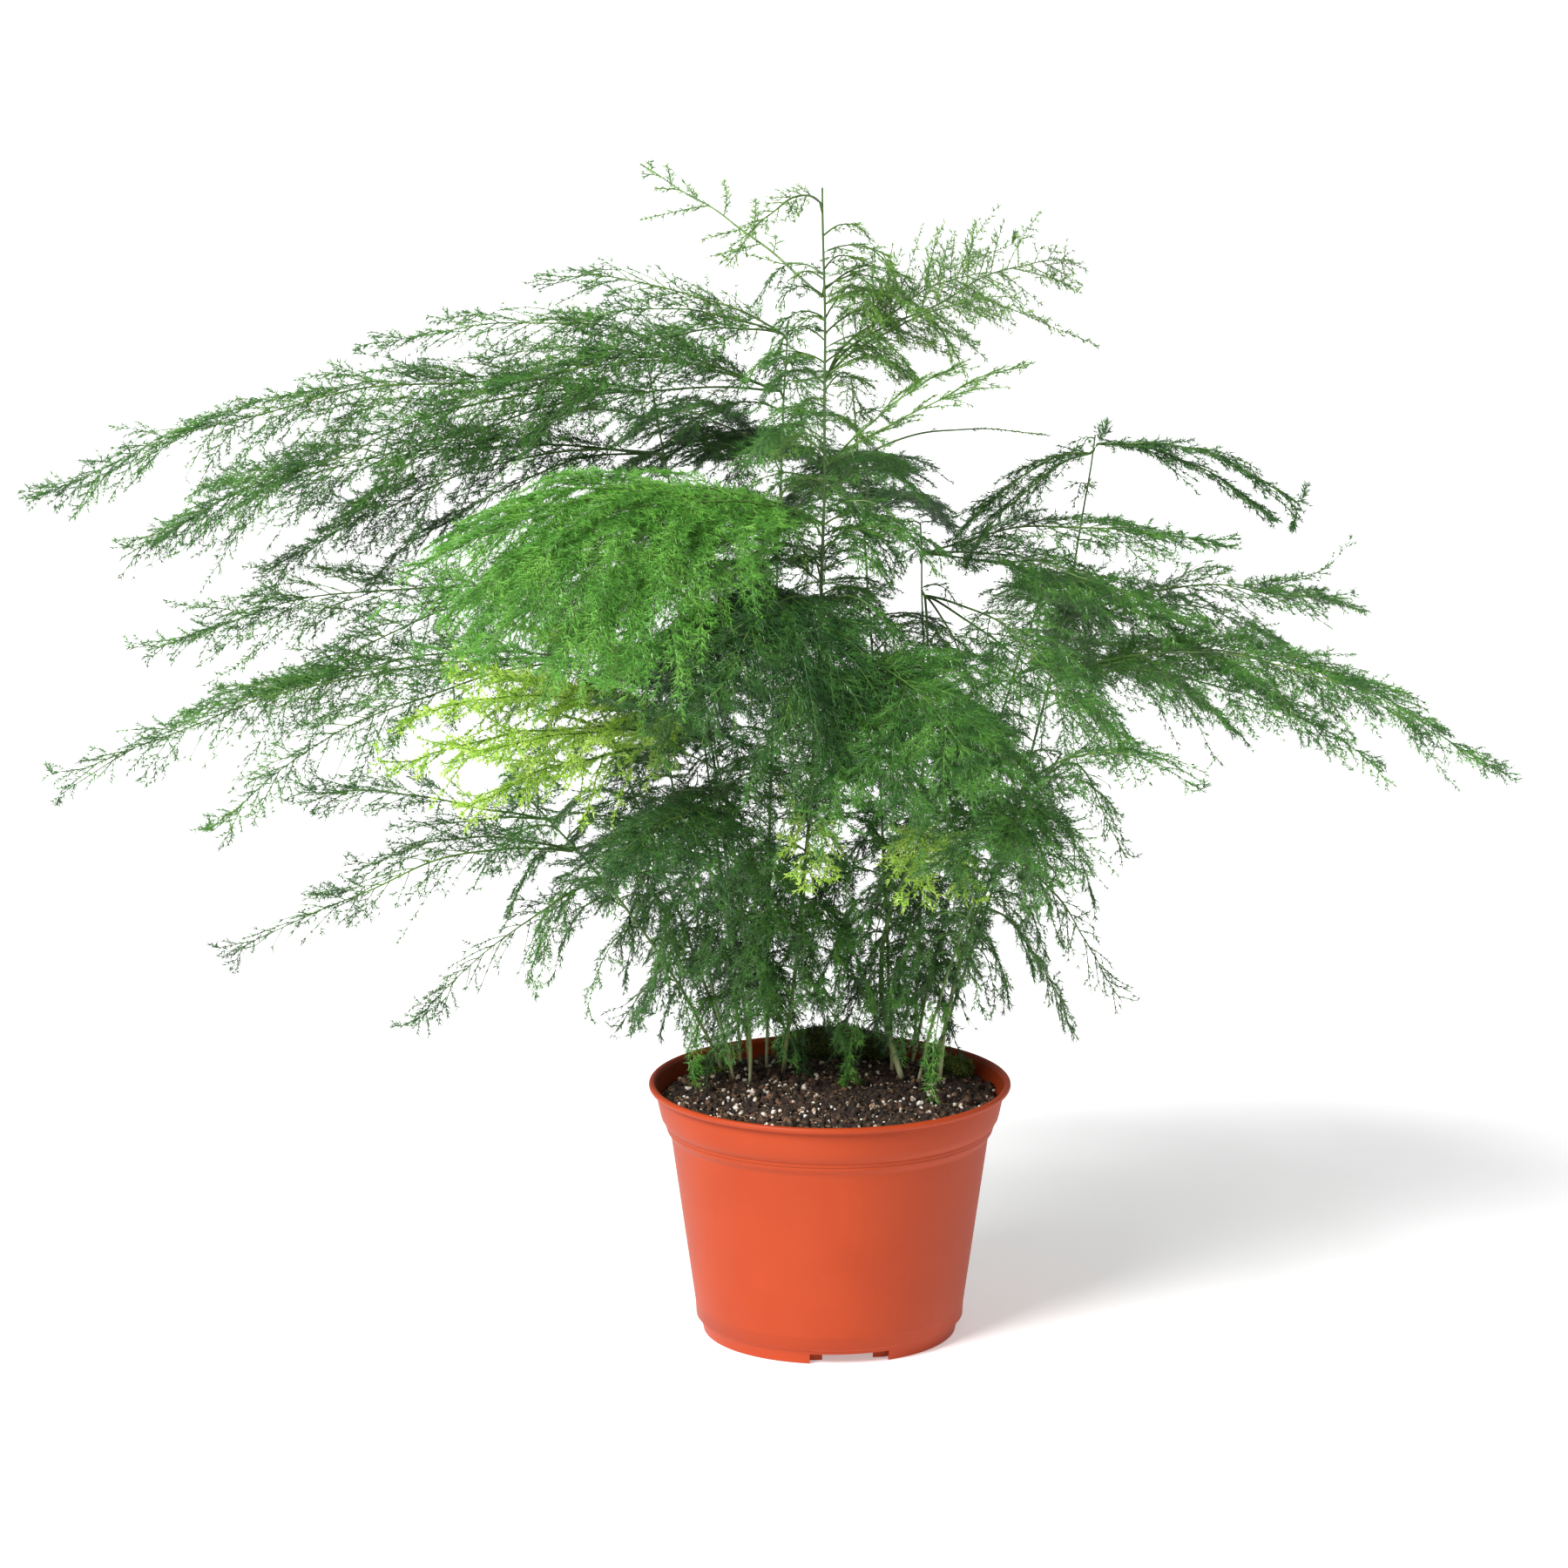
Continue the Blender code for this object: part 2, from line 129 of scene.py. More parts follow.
def pot_outline():
    """The outside of the pot from the top of its lip down to its foot, and the index under the lip."""
    outside = arc((rim_radius - lip_roll, pot_height - lip_roll), lip_roll, 90, -60, 8)
    for inward, drop in ((-0.1, 2.9), (0.4, 3.3), (0.25, 4.1)):
        outside.append((collar_radius - inward * MM, pot_height - drop * MM))
    under_lip = len(outside)
    for inward, drop in ((2.2, 13.2), (2.7, 15.0)):
        outside.append((collar_radius - inward * MM, pot_height - drop * MM))
    for lines, drop in ((0, 0), (1.6, 0.25), (0.9, 0.7), (1.2, 1.5), (3, 1.75), (2.3, 2.2)):
        outside.append((ledge_radius - lines * ledge_line, pot_height - ledge_drop - drop * MM))
    ledge_foot = outside[-1]
    for part in np.linspace(0, 1, 9)[1:]:
        inset = shoulder_inset * (1 - math.cos(math.pi * part)) / 2
        outside.append((ledge_foot[0] - inset, ledge_foot[1] - shoulder_height * part))
    wall_top = outside[-1]
    for part in (0.25, 0.5, 0.75, 1):
        outside.append(tuple(top + (foot - top) * part for top, foot in zip(wall_top, wall_foot)))
    outside += [(56.5 * MM, 7.3 * MM), (55.5 * MM, 4.9 * MM), (pot_foot_radius + 0.3 * MM, 2.4 * MM)]
    outside += arc((pot_foot_radius - 0.8 * MM, 0.8 * MM), 0.8 * MM, 0, -90, 3)
    return outside, under_lip


outer, under_lip = pot_outline()
inner_top = rim_radius - 2.7 * MM
inner = [(inner_top, pot_height - 0.6 * MM), (inner_top - 0.25 * MM, pot_height - 2 * MM)]
inner += [(r - pot_wall, z) for r, z in outer[under_lip:] if z > pot_floor + 5 * MM]
for inward, rise in ((1.2, 1), (1.5, 0)):
    inner.append((inner[-1][0] - inward * MM, pot_floor + pot_wall + rise * MM))
lip_inside = arc((inner_top + 1.2 * MM, pot_height - 1.2 * MM), 1.2 * MM, 170, 95, 4)
foot_inner = outer[-1][0] - pot_wall * 0.7
skirt = foot_inner - skirt_gap
under = [(foot_inner, 0), (foot_inner, pot_floor), (skirt, pot_floor), (skirt, 0.2 * MM)]
under += [(skirt - pot_wall, 0.2 * MM), (skirt - pot_wall, pot_floor), (0, pot_floor)]
middle_of_floor = [(0, pot_floor + pot_wall)]
pot_mesh = turned_mesh("pot_shell", middle_of_floor + inner[::-1] + lip_inside + outer + under, pot_sides)


def cut_box(size, place, turn):
    """A block that is cut away from the pot and then thrown out."""
    shape = bmesh.new()
    bmesh.ops.create_cube(shape, size=1)
    bmesh.ops.scale(shape, vec=size, verts=shape.verts)
    mesh = bpy.data.meshes.new("cut")
    shape.to_mesh(mesh)
    shape.free()
    block = new_object("cut", mesh)
    block.location = place
    block.rotation_euler.z = turn
    return block


def carve(piece, blocks):
    """Cuts the blocks out of the piece for good."""
    for block in blocks:
        boolean = piece.modifiers.new("cut", "BOOLEAN")
        boolean.operation = "DIFFERENCE"
        boolean.object = block
    bpy.context.view_layer.update()
    graph = bpy.context.evaluated_depsgraph_get()
    cut = bpy.data.meshes.new_from_object(piece.evaluated_get(graph))
    piece.modifiers.clear()
    piece.data = cut
    for block in blocks:
        bpy.data.objects.remove(block)


pot = new_piece("nursery_pot", pot_mesh, "pot", "pot")
notch_blocks = []
for notch in range(notch_count):
    angle = first_notch + math.tau * notch / notch_count
    for width, radius, depth in (
        (foot_notch_width, (foot_inner + outer[-1][0]) / 2, 12 * MM),
        (skirt_notch_width, skirt - pot_wall / 2, 4 * MM),
    ):
        out = (pot_x + radius * math.cos(angle), pot_y + radius * math.sin(angle))
        notch_blocks.append(cut_box((depth, width, 8 * MM), (*out, notch_height - 4 * MM), angle))
carve(pot, notch_blocks)


def shader_of(material):
    return material.node_tree.nodes["Principled BSDF"]


def new_material(name, roughness, **sockets):
    material = bpy.data.materials.new(name)
    material.use_nodes = True
    shader = shader_of(material)
    shader.inputs["Roughness"].default_value = roughness
    for socket, value in sockets.items():
        shader.inputs[socket.replace("_", " ")].default_value = value
    return material


def ramp(material, source, stops):
    """Colours the material by a colour ramp that a node's output runs, with (position, colour) stops."""
    node = material.node_tree.nodes.new("ShaderNodeValToRGB")
    elements = node.color_ramp.elements
    for index, (position, colour) in enumerate(stops):
        element = elements[index] if index < 2 else elements.new(position)
        element.position = position
        element.color = (*colour, 1)
    material.node_tree.links.new(source, node.inputs["Fac"])
    material.node_tree.links.new(node.outputs["Color"], shader_of(material).inputs["Base Color"])


def noise(material, coordinates, scale, detail):
    """Noise in metres: scale is how many features there are to the metre."""
    node = material.node_tree.nodes.new("ShaderNodeTexNoise")
    node.inputs["Scale"].default_value = scale
    node.inputs["Detail"].default_value = detail
    material.node_tree.links.new(coordinates, node.inputs["Vector"])
    return node.outputs["Fac"]


def object_space(material):
    return material.node_tree.nodes.new("ShaderNodeTexCoord").outputs["Object"]


def mottled(name, roughness, scale, detail, stops, **sockets):
    """A finish whose colour drifts with noise in the piece's own space."""
    material = new_material(name, roughness, **sockets)
    ramp(material, noise(material, object_space(material), scale, detail), stops)
    return material


def bumps(material, scale, detail, strength, distance):
    tree = material.node_tree
    node = tree.nodes.new("ShaderNodeBump")
    node.inputs["Strength"].default_value = strength
    node.inputs["Distance"].default_value = distance
    tree.links.new(noise(material, object_space(material), scale, detail), node.inputs["Height"])
    tree.links.new(node.outputs["Normal"], shader_of(material).inputs["Normal"])


terracotta = [(0.3, (0.372, 0.043, 0.0085)), (0.7, (0.408, 0.050, 0.0108))]
pot_plastic = mottled("terracotta_plastic", 0.5, 28, 4, terracotta, Specular_IOR_Level=0.22)
bumps(pot_plastic, 900, 2, 0.08, 0.2 * MM)
pot.data.materials.clear()
pot.data.materials.append(pot_plastic)

# ------------------------------------------------------------------------------
# The potting mix: damp dark peat, mounded up to the crown. Its rough skin carries loose crumbs
# of bark and peat, pale fibres, and white grains of perlite that lie thickest at the front.
# ------------------------------------------------------------------------------
mix_low, mix_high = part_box("potting_mix")
mix_radius = min((mix_high.x - mix_low.x) / 2, inner_top - 2 * MM)
crown_z = mix_high.z
mix_edge_z = pot_height - 9 * MM
chance = np.random.default_rng(7)


def mound_z(x, y):
    """Height of the mound at a place, in metres, from its crown to where it meets the pot."""
    share = ((x - pot_x) ** 2 + (y - pot_y) ** 2) / mix_radius**2
    return mix_edge_z + (crown_z - mix_edge_z) * (1 - share)


def solid_mesh(name, verts, faces):
    """A mesh from arrays of corners and triangles."""
    mesh = bpy.data.meshes.new(name)
    mesh.vertices.add(len(verts))
    mesh.vertices.foreach_set("co", np.asarray(verts, np.float32).ravel())
    mesh.loops.add(len(faces) * 3)
    mesh.loops.foreach_set("vertex_index", np.asarray(faces, np.int32).ravel())
    mesh.polygons.add(len(faces))
    mesh.polygons.foreach_set("loop_start", np.arange(0, len(faces) * 3, 3, dtype=np.int32))
    mesh.polygons.foreach_set("loop_total", np.full(len(faces), 3, np.int32))
    mesh.update(calc_edges=True)
    return mesh


def lump(detail):
    """Corners and triangles of one round lump."""
    shape = bmesh.new()
    bmesh.ops.create_icosphere(shape, subdivisions=detail, radius=1)
    shape.verts.ensure_lookup_table()
    corners = np.array([v.co for v in shape.verts])
    faces = np.array([[v.index for v in f.verts] for f in shape.faces])
    shape.free()
    return corners, faces


def scattered_lumps(name, places, sizes, roughness, squash):
    """Many lumps in one mesh, each turned and dented at random."""
    corners, faces = lump(1)
    count = len(places)
    dents = 1 + roughness * (chance.random((count, len(corners), 1)) - 0.5)
    shapes = corners[None] * dents
    shapes *= (1 + squash * (chance.random((count, 1, 3)) - 0.5))
    spin = chance.normal(size=(count, 3, 3))
    turn, _ = np.linalg.qr(spin)
    turn *= np.sign(np.linalg.det(turn))[:, None, None]
    shapes = np.einsum("nij,nkj->nki", turn, shapes) * sizes[:, None, None] + places[:, None]
    every = (faces[None] + (np.arange(count) * len(corners))[:, None, None]).reshape(-1, 3)
    return solid_mesh(name, shapes.reshape(-1, 3), every)


def on_the_mound(count, front=0.0):
    """Random places on the mound. A higher front crowds them towards the side that faces out."""
    places = []
    while len(places) < count:
        x, y = (chance.random(2) * 2 - 1) * (mix_radius - 1.5 * MM)
        if math.hypot(x, y) > 0.985 * mix_radius:
            continue
        if chance.random() < front * (0.5 + 0.5 * y / mix_radius):
            continue
        places.append((pot_x + x, pot_y + y, 0))
    places = np.array(places)
    places[:, 2] = mound_z(places[:, 0], places[:, 1])
    return places


def mix_skin():
    """The body of the mix, with a rough top made of fine and coarse dents."""
    rings, sides = 64, 200
    outline = [(0, crown_z)]
    for ring in range(1, rings + 1):
        radius = mix_radius * ring / rings
        outline.append((radius, mound_z(pot_x + radius, pot_y)))
    outline += [(r - 0.4 * MM, z) for r, z in inner if z < mix_edge_z - 1 * MM]
    outline += [(0, outline[-1][1])]
    mesh = turned_mesh("mix_skin", outline, sides)
    for vert in mesh.vertices:
        if vert.co.z < mix_edge_z - 1 * MM:
            continue
        x, y, _ = vert.co
        coarse = math.sin(x * 410 + 3 * math.sin(y * 300)) * math.sin(y * 380 + 2 * math.sin(x * 350))
        rough = 1.3 * coarse + chance.random() * 1.5
        vert.co.z += (rough - 0.9) * 0.75 * MM
    return mesh


mix = new_piece("potting_mix_mound", mix_skin(), "potting_mix", "potting_mix")
peat_stops = [(0.38, (0.009, 0.005, 0.004)), (0.60, (0.045, 0.024, 0.015)), (0.73, (0.17, 0.095, 0.052))]
peat = mottled("damp_peat", 0.9, 900, 6, peat_stops)
bumps(peat, 900, 6, 0.6, 1 * MM)
mix.data.materials.append(peat)

bark_stops = [(0.36, (0.010, 0.006, 0.004)), (0.55, (0.042, 0.021, 0.012)), (0.70, (0.21, 0.110, 0.058))]
bark = mottled("bark_crumbs", 0.88, 330, 2, bark_stops)
grain_stops = [(0.36, (0.26, 0.14, 0.07)), (0.46, (0.56, 0.42, 0.30)), (0.56, (0.84, 0.80, 0.72))]
white_grain = mottled("perlite_white", 0.8, 420, 2, grain_stops)


def litter(name, count, front, smallest, spread, power, sunk, dents, squash, finish):
    """Loose bits of one kind on the mound, from smallest to smallest + spread in millimetres."""
    places = on_the_mound(count, front)
    sizes = (smallest + chance.random(count) ** power * spread) * MM
    places[:, 2] += sizes * (1 - sunk)
    bits = new_piece(name, scattered_lumps(name, places, sizes, dents, squash), "potting_mix")
    bits.data.materials.append(finish)


litter("mix_crumbs", 5200, 0, 0.35, 1.5, power=3, sunk=0.7, dents=0.7, squash=0.9, finish=bark)
litter("perlite_grains", 1150, 0.8, 0.28, 1.15, power=3, sunk=0.5, dents=0.6, squash=0.7, finish=white_grain)
litter("bark_chips", 300, 0, 0.8, 1.8, power=2, sunk=0.8, dents=0.5, squash=1.5, finish=bark)

# ------------------------------------------------------------------------------
# Canes: wiry green stems, smooth and round, that come up out of the mix in two tufts. They are
# palest at the foot, and each has small papery scales where its fronds leave it.
# ------------------------------------------------------------------------------


def unit(vectors):
    return vectors / np.maximum(np.linalg.norm(vectors, axis=-1, keepdims=True), 1e-12)


def crosswise(forward):
    """Two directions that stand square to each direction and to each other."""
    helper = np.where(np.abs(forward[..., 2:3]) > 0.8, [1.0, 0, 0], [0, 0, 1.0])
    first = unit(np.cross(forward, helper))
    return first, np.cross(forward, first)


class Growth:
    """Collects twigs and needles for one piece, then makes one mesh of them."""

    def __init__(self):
        self.corners, self.faces, self.kinds, self.smooth = [], [], [], []
        self.count = 0

    def add(self, corners, faces, kind, smooth):
        self.corners.append(corners.reshape(-1, 3))
        self.faces.append(faces + self.count)
        self.kinds.append(np.full(len(faces), kind, np.int32))
        self.smooth.append(np.full(len(faces), smooth, bool))
        self.count += self.corners[-1].shape[0]

    def tubes(self, paths, radii, sides, kind):
        """Closed round twigs: paths is twigs x points x 3 and radii is twigs x points."""
        twigs, points = paths.shape[:2]
        first, second = crosswise(unit(np.gradient(paths, axis=1)))
        turn = math.tau * np.arange(sides) / sides
        around = first[:, :, None] * np.cos(turn)[:, None] + second[:, :, None] * np.sin(turn)[:, None]
        corners = paths[:, :, None] + around * radii[:, :, None, None]
        ring = np.arange(sides)
        after = (ring + 1) % sides
        here = np.arange(points - 1)[:, None] * sides
        quads = np.stack([here + ring, here + after, here + sides + after, here + sides + ring], -1)
        quads = quads.reshape(-1, 4)
        one = np.concatenate([quads[:, [0, 1, 2]], quads[:, [0, 2, 3]]])
        last = (points - 1) * sides
        fan = [(0, k + 1, k) for k in range(1, sides - 1)]
        fan += [(last, last + k, last + k + 1) for k in range(1, sides - 1)]
        one = np.concatenate([one, np.array(fan)])
        faces = one[None] + (np.arange(twigs) * points * sides)[:, None, None]
        self.add(corners, faces.reshape(-1, 3), kind, True)

    def needles(self, feet, along, lengths, widths, kind):
        """Closed slivers that stand on three corners and run out to a point."""
        first, second = crosswise(along)
        corners = [feet + along * lengths[:, None]]
        for angle in (0, math.tau / 3, math.tau * 2 / 3):
            out = first * math.cos(angle) + second * math.sin(angle)
            corners.append(feet + out * widths[:, None] / 2)
        one = np.array([(0, 1, 2), (0, 2, 3), (0, 3, 1), (1, 3, 2)])
        faces = one[None] + (np.arange(len(feet)) * 4)[:, None, None]
        self.add(np.stack(corners, 1), faces.reshape(-1, 3), kind, False)

    def mesh(self, name):
        """One mesh with a flat map: needles fill its lower part and twigs a strip above it."""
        corners = np.concatenate(self.corners)
        faces = np.concatenate(self.faces)
        kinds = np.concatenate(self.kinds)
        mesh = solid_mesh(name, corners, faces)
        mesh.polygons.foreach_set("use_smooth", np.concatenate(self.smooth))
        mesh.polygons.foreach_set("material_index", kinds)
        spread = corners - corners.mean(0)
        axis = np.linalg.svd(spread[:: max(1, len(spread) // 4000)], full_matrices=False)[2]
        depth = spread @ axis[2]
        flat = np.stack([spread @ axis[0] + 0.21 * depth, spread @ axis[1] + 0.34 * depth], 1)
        flat = (flat - flat.min(0)) / np.maximum(np.ptp(flat, axis=0), 1e-9)
        per_corner = flat[faces.ravel()]
        twig = np.repeat(kinds == 1, 3)
        per_corner[:, 1] = np.where(twig, 0.88 + 0.12 * per_corner[:, 1], 0.84 * per_corner[:, 1])
        layer = mesh.uv_layers.new(name="OFBake")
        layer.data.foreach_set("uv", per_corner.astype(np.float32).ravel())
        return mesh


def grown_piece(growth, name, slot, finishes, *nodes):
    """A piece made of what has grown, with a finish for its needles and one for its twigs."""
    piece = new_piece(name, growth.mesh(name), slot, *nodes)
    for finish in finishes:
        piece.data.materials.append(finish)


fibre_count = 420
fibre_feet = on_the_mound(fibre_count)
fibre_ways = unit(chance.normal(size=(3, fibre_count)).T * [1, 1, 0.25])
fibre_bends = unit(chance.normal(size=(fibre_count, 3))) * [1, 1, 0.4]
fibre_halves = (1.5 + 3.5 * chance.random((fibre_count, 1, 1))) * MM
fibre_run = np.linspace(-1, 1, 6)[None, :, None] * fibre_halves
fibre_paths = fibre_feet[:, None] + fibre_ways[:, None] * fibre_run
fibre_paths += fibre_bends[:, None] * fibre_run**2 * 60
resting_z = mound_z(fibre_paths[..., 0], fibre_paths[..., 1]) + 0.5 * MM
fibre_paths[..., 2] = np.maximum(fibre_paths[..., 2], resting_z)
fibres = Growth()
fibres.tubes(fibre_paths, np.full(fibre_paths.shape[:2], 0.13 * MM), 4, 0)
straw = mottled("peat_fibre", 0.8, 150, 2, [(0.35, (0.10, 0.05, 0.025)), (0.65, (0.42, 0.27, 0.13))])
grown_piece(fibres, "peat_fibres", "potting_mix", [straw])


def cad_mesh(node):
    """Corners and triangles of a CAD piece."""
    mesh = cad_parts[node].data
    mesh.calc_loop_triangles()
    points = np.zeros(len(mesh.vertices) * 3)
    mesh.vertices.foreach_get("co", points)
    faces = np.zeros(len(mesh.loop_triangles) * 3, np.int32)
    mesh.loop_triangles.foreach_get("vertices", faces)
    return points.reshape(-1, 3), faces.reshape(-1, 3)


def slices(points, faces, origin, axis, distances):
    """For each distance along the axis, the points where that plane crosses the mesh."""
    height = (points - origin) @ axis
    edges = np.concatenate([faces[:, [0, 1]], faces[:, [1, 2]], faces[:, [2, 0]]])
    low, high = height[edges[:, 0]], height[edges[:, 1]]
    found = []
    for distance in distances:
        crossing = (low - distance) * (high - distance) < 0
        share = (distance - low[crossing]) / (high[crossing] - low[crossing])
        a, b = points[edges[crossing, 0]], points[edges[crossing, 1]]
        found.append(a + (b - a) * share[:, None])
    return found


def cane_line(node, steps=40):
    """The middle line and the radius of a CAD cane, from slices across it."""
    points, faces = cad_mesh(node)
    low, high = points[:, 2].min() + 0.4 * MM, points[:, 2].max() - 0.4 * MM
    levels = np.linspace(low, high, 24)
    rings = slices(points, faces, np.zeros(3), np.array([0, 0, 1.0]), levels)
    middles = np.array([(ring.min(0) + ring.max(0)) / 2 for ring in rings])
    widths = np.array([np.ptp(ring, axis=0)[:2].min() / 2 for ring in rings])
    keep = middles[:, 2] > crown_z - 4 * MM
    middles, widths = middles[keep], widths[keep]
    fine = np.linspace(middles[0, 2], middles[-1, 2], steps)
    line = []
    for axis in (0, 1):
        fit = np.polynomial.Polynomial.fit(middles[:, 2], middles[:, axis], 4)
        line.append(fit(fine))
    radius = np.interp(fine, middles[:, 2], widths)
    return np.stack([line[0], line[1], fine], 1), radius


cane_skin = new_material("cane_skin", 0.42)
links = cane_skin.node_tree.links
height_of = cane_skin.node_tree.nodes.new("ShaderNodeSeparateXYZ")
links.new(object_space(cane_skin), height_of.inputs[0])
rise = cane_skin.node_tree.nodes.new("ShaderNodeMapRange")
rise.inputs["From Min"].default_value = crown_z - 2 * MM
rise.inputs["From Max"].default_value = crown_z + 150 * MM
links.new(height_of.outputs["Z"], rise.inputs["Value"])
pale_foot = [(0.0, (0.60, 0.58, 0.36)), (0.10, (0.34, 0.42, 0.15))]
green_top = [(0.3, (0.12, 0.21, 0.05)), (1.0, (0.07, 0.14, 0.032))]
ramp(cane_skin, rise.outputs["Result"], pale_foot + green_top)

scale_length, scale_width = 3.2 * MM, 1.1 * MM
scale_places = slice(4, -2, 4)
canes = sorted(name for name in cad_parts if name.startswith("cane_"))
cane_lines = {name: cane_line(name) for name in canes}
for name in canes:
    path, radius = cane_lines[name]
    path[:, 0] += 0.175 * MM * np.sin(np.arange(len(path)) * 0.9 + len(name))
    growth = Growth()
    growth.tubes(path[None], radius[None] * 0.95, 10, 1)
    forward = unit(np.gradient(path, axis=0))[scale_places]
    sideways = unit(np.cross(forward, chance.normal(size=forward.shape)))
    feet = path[scale_places] + sideways * radius[scale_places, None] * 0.7
    each = np.ones(len(feet))
    growth.needles(feet, unit(forward + sideways * 0.55), scale_length * each, scale_width * each, 1)
    grown_piece(growth, name + "_stem", "cane", [cane_skin, cane_skin], name)

# ------------------------------------------------------------------------------
# Moss: low cushions at the back of the mix. Each is a lumpy base that is covered all over
# with short olive-green shoots.
# ------------------------------------------------------------------------------
base_stops = [(0.35, (0.018, 0.018, 0.006)), (0.5, (0.045, 0.060, 0.012)), (0.65, (0.11, 0.13, 0.030))]
moss_base = mottled("moss_base", 0.95, 260, 4, base_stops)
shoot_stops = [(0.35, (0.06, 0.085, 0.014)), (0.5, (0.13, 0.20, 0.028)), (0.66, (0.28, 0.36, 0.06))]
moss_shoots = mottled("moss_shoots", 0.8, 160, 3, shoot_stops)
shoots_to_the_metre = 26000
for name in sorted(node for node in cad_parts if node.startswith("moss_")):
    low, high = (np.array(corner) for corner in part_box(name))
    middle, half = (low + high) / 2, (high - low) / 2
    ball, faces = lump(4)
    dents = np.sin(ball[:, :1] * 9 + 2 * np.sin(ball[:, 1:2] * 7)) * np.sin(ball[:, 2:] * 8)
    ball = middle + ball * (1 - 0.10 * dents) * half * 0.97
    ball[:, 2] = np.maximum(ball[:, 2], mound_z(ball[:, 0], ball[:, 1]) - 1.5 * MM)
    growth = Growth()
    growth.add(ball, faces, 1, True)
    normals = unit((ball - middle) / half**2)
    count = int(shoots_to_the_metre * math.sqrt(half[0] * half[1] * 4) * 4)
    choice = chance.integers(0, len(ball), count)
    feet = ball[choice] + chance.normal(0, 0.6 * MM, (count, 3))
    above = feet[:, 2] > mound_z(feet[:, 0], feet[:, 1])
    feet, outward = feet[above], normals[choice][above]
    along = unit(outward + 0.7 * chance.normal(size=outward.shape))
    lengths = (1.0 + 1.6 * chance.random(len(feet))) * MM
    growth.needles(feet, along, lengths, np.full(len(feet), 0.55 * MM), 0)
    grown_piece(growth, name + "_cushion", "moss", [moss_shoots, moss_base], name)

# ------------------------------------------------------------------------------
# Mature fronds: flat plumes. A thin arching rib carries twigs to the left and right, each twig
# carries finer twigs, and all of them are set with bunches of short soft needles.
# ------------------------------------------------------------------------------


class Plate:
    """A leaf surface: its rib, the ways across and up from it, half its width and how it cups."""

    def __init__(self, rib, side, up, half, cup):
        self.rib, self.side, self.up, self.half, self.cup = rib, side, up, half, cup
        self.length = np.linalg.norm(np.diff(rib, axis=0), axis=1).sum()

    @staticmethod
    def read(values, run):
        """A row of values that were sampled evenly along the rib, read at any share of the way."""
        spot = np.asarray(run) * (len(values) - 1)
        low = np.clip(spot.astype(int), 0, len(values) - 2)
        part = spot - low
        if values.ndim > 1:
            part = part[..., None]
        return values[low] + (values[low + 1] - values[low]) * part

    def at(self, run, across):
        """A place on the plate: share of the way along the rib, and metres to the side of it."""
        within = np.clip(run, 0, 1)
        wide = np.abs(across) / np.maximum(self.read(self.half, within), 3 * MM)
        sag = self.read(self.cup, within) * np.where(wide < 1, wide**2, 2 * wide - 1)
        place = self.read(self.rib, run) + self.read(self.side, within) * across[..., None]
        return place + self.read(self.up, within) * sag[..., None]

    def turned(self, yaw, pitch, size):
        """The same plate swung about the foot of its rib, in degrees, and made larger or smaller."""
        out = self.rib[-1] - self.rib[0]
        across = unit(np.array([out[1], -out[0], 0]))
        turn = np.array(Matrix.Rotation(math.radians(yaw), 3, "Z"))
        turn = turn @ np.array(Matrix.Rotation(math.radians(pitch), 3, Vector(across)))
        rib = self.rib[0] + (self.rib - self.rib[0]) @ turn.T * size
        return Plate(rib, self.side @ turn.T, self.up @ turn.T, self.half * size, self.cup * size)

    def leaning(self, degrees):
        """The same plate rolled about its rib, so that its upper face turns towards the front."""
        axis = Vector(unit(self.rib[-1] - self.rib[0]))
        turn = np.array(Matrix.Rotation(math.radians(degrees), 3, axis))
        if (turn @ self.up[0])[1] > self.up[0][1]:
            turn = turn.T
        rib = self.rib[0] + (self.rib - self.rib[0]) @ turn.T
        return Plate(rib, self.side @ turn.T, self.up @ turn.T, self.half, self.cup)

    def wandering(self, rng, amount):
        """The same plate with a gentle wander in its rib, as a share of its length."""
        run = np.linspace(0, 1, len(self.rib))[:, None]
        swing = 0
        for turns in (0.7, 1.6, 3.1):
            swing = swing + np.sin(math.tau * turns * run + rng.uniform(0, math.tau, 2)) / turns
        swing = swing * amount * self.length * np.sqrt(run)
        rib = self.rib + swing[:, :1] * self.side + swing[:, 1:] * self.up
        return Plate(rib, self.side, self.up, self.half, self.cup)


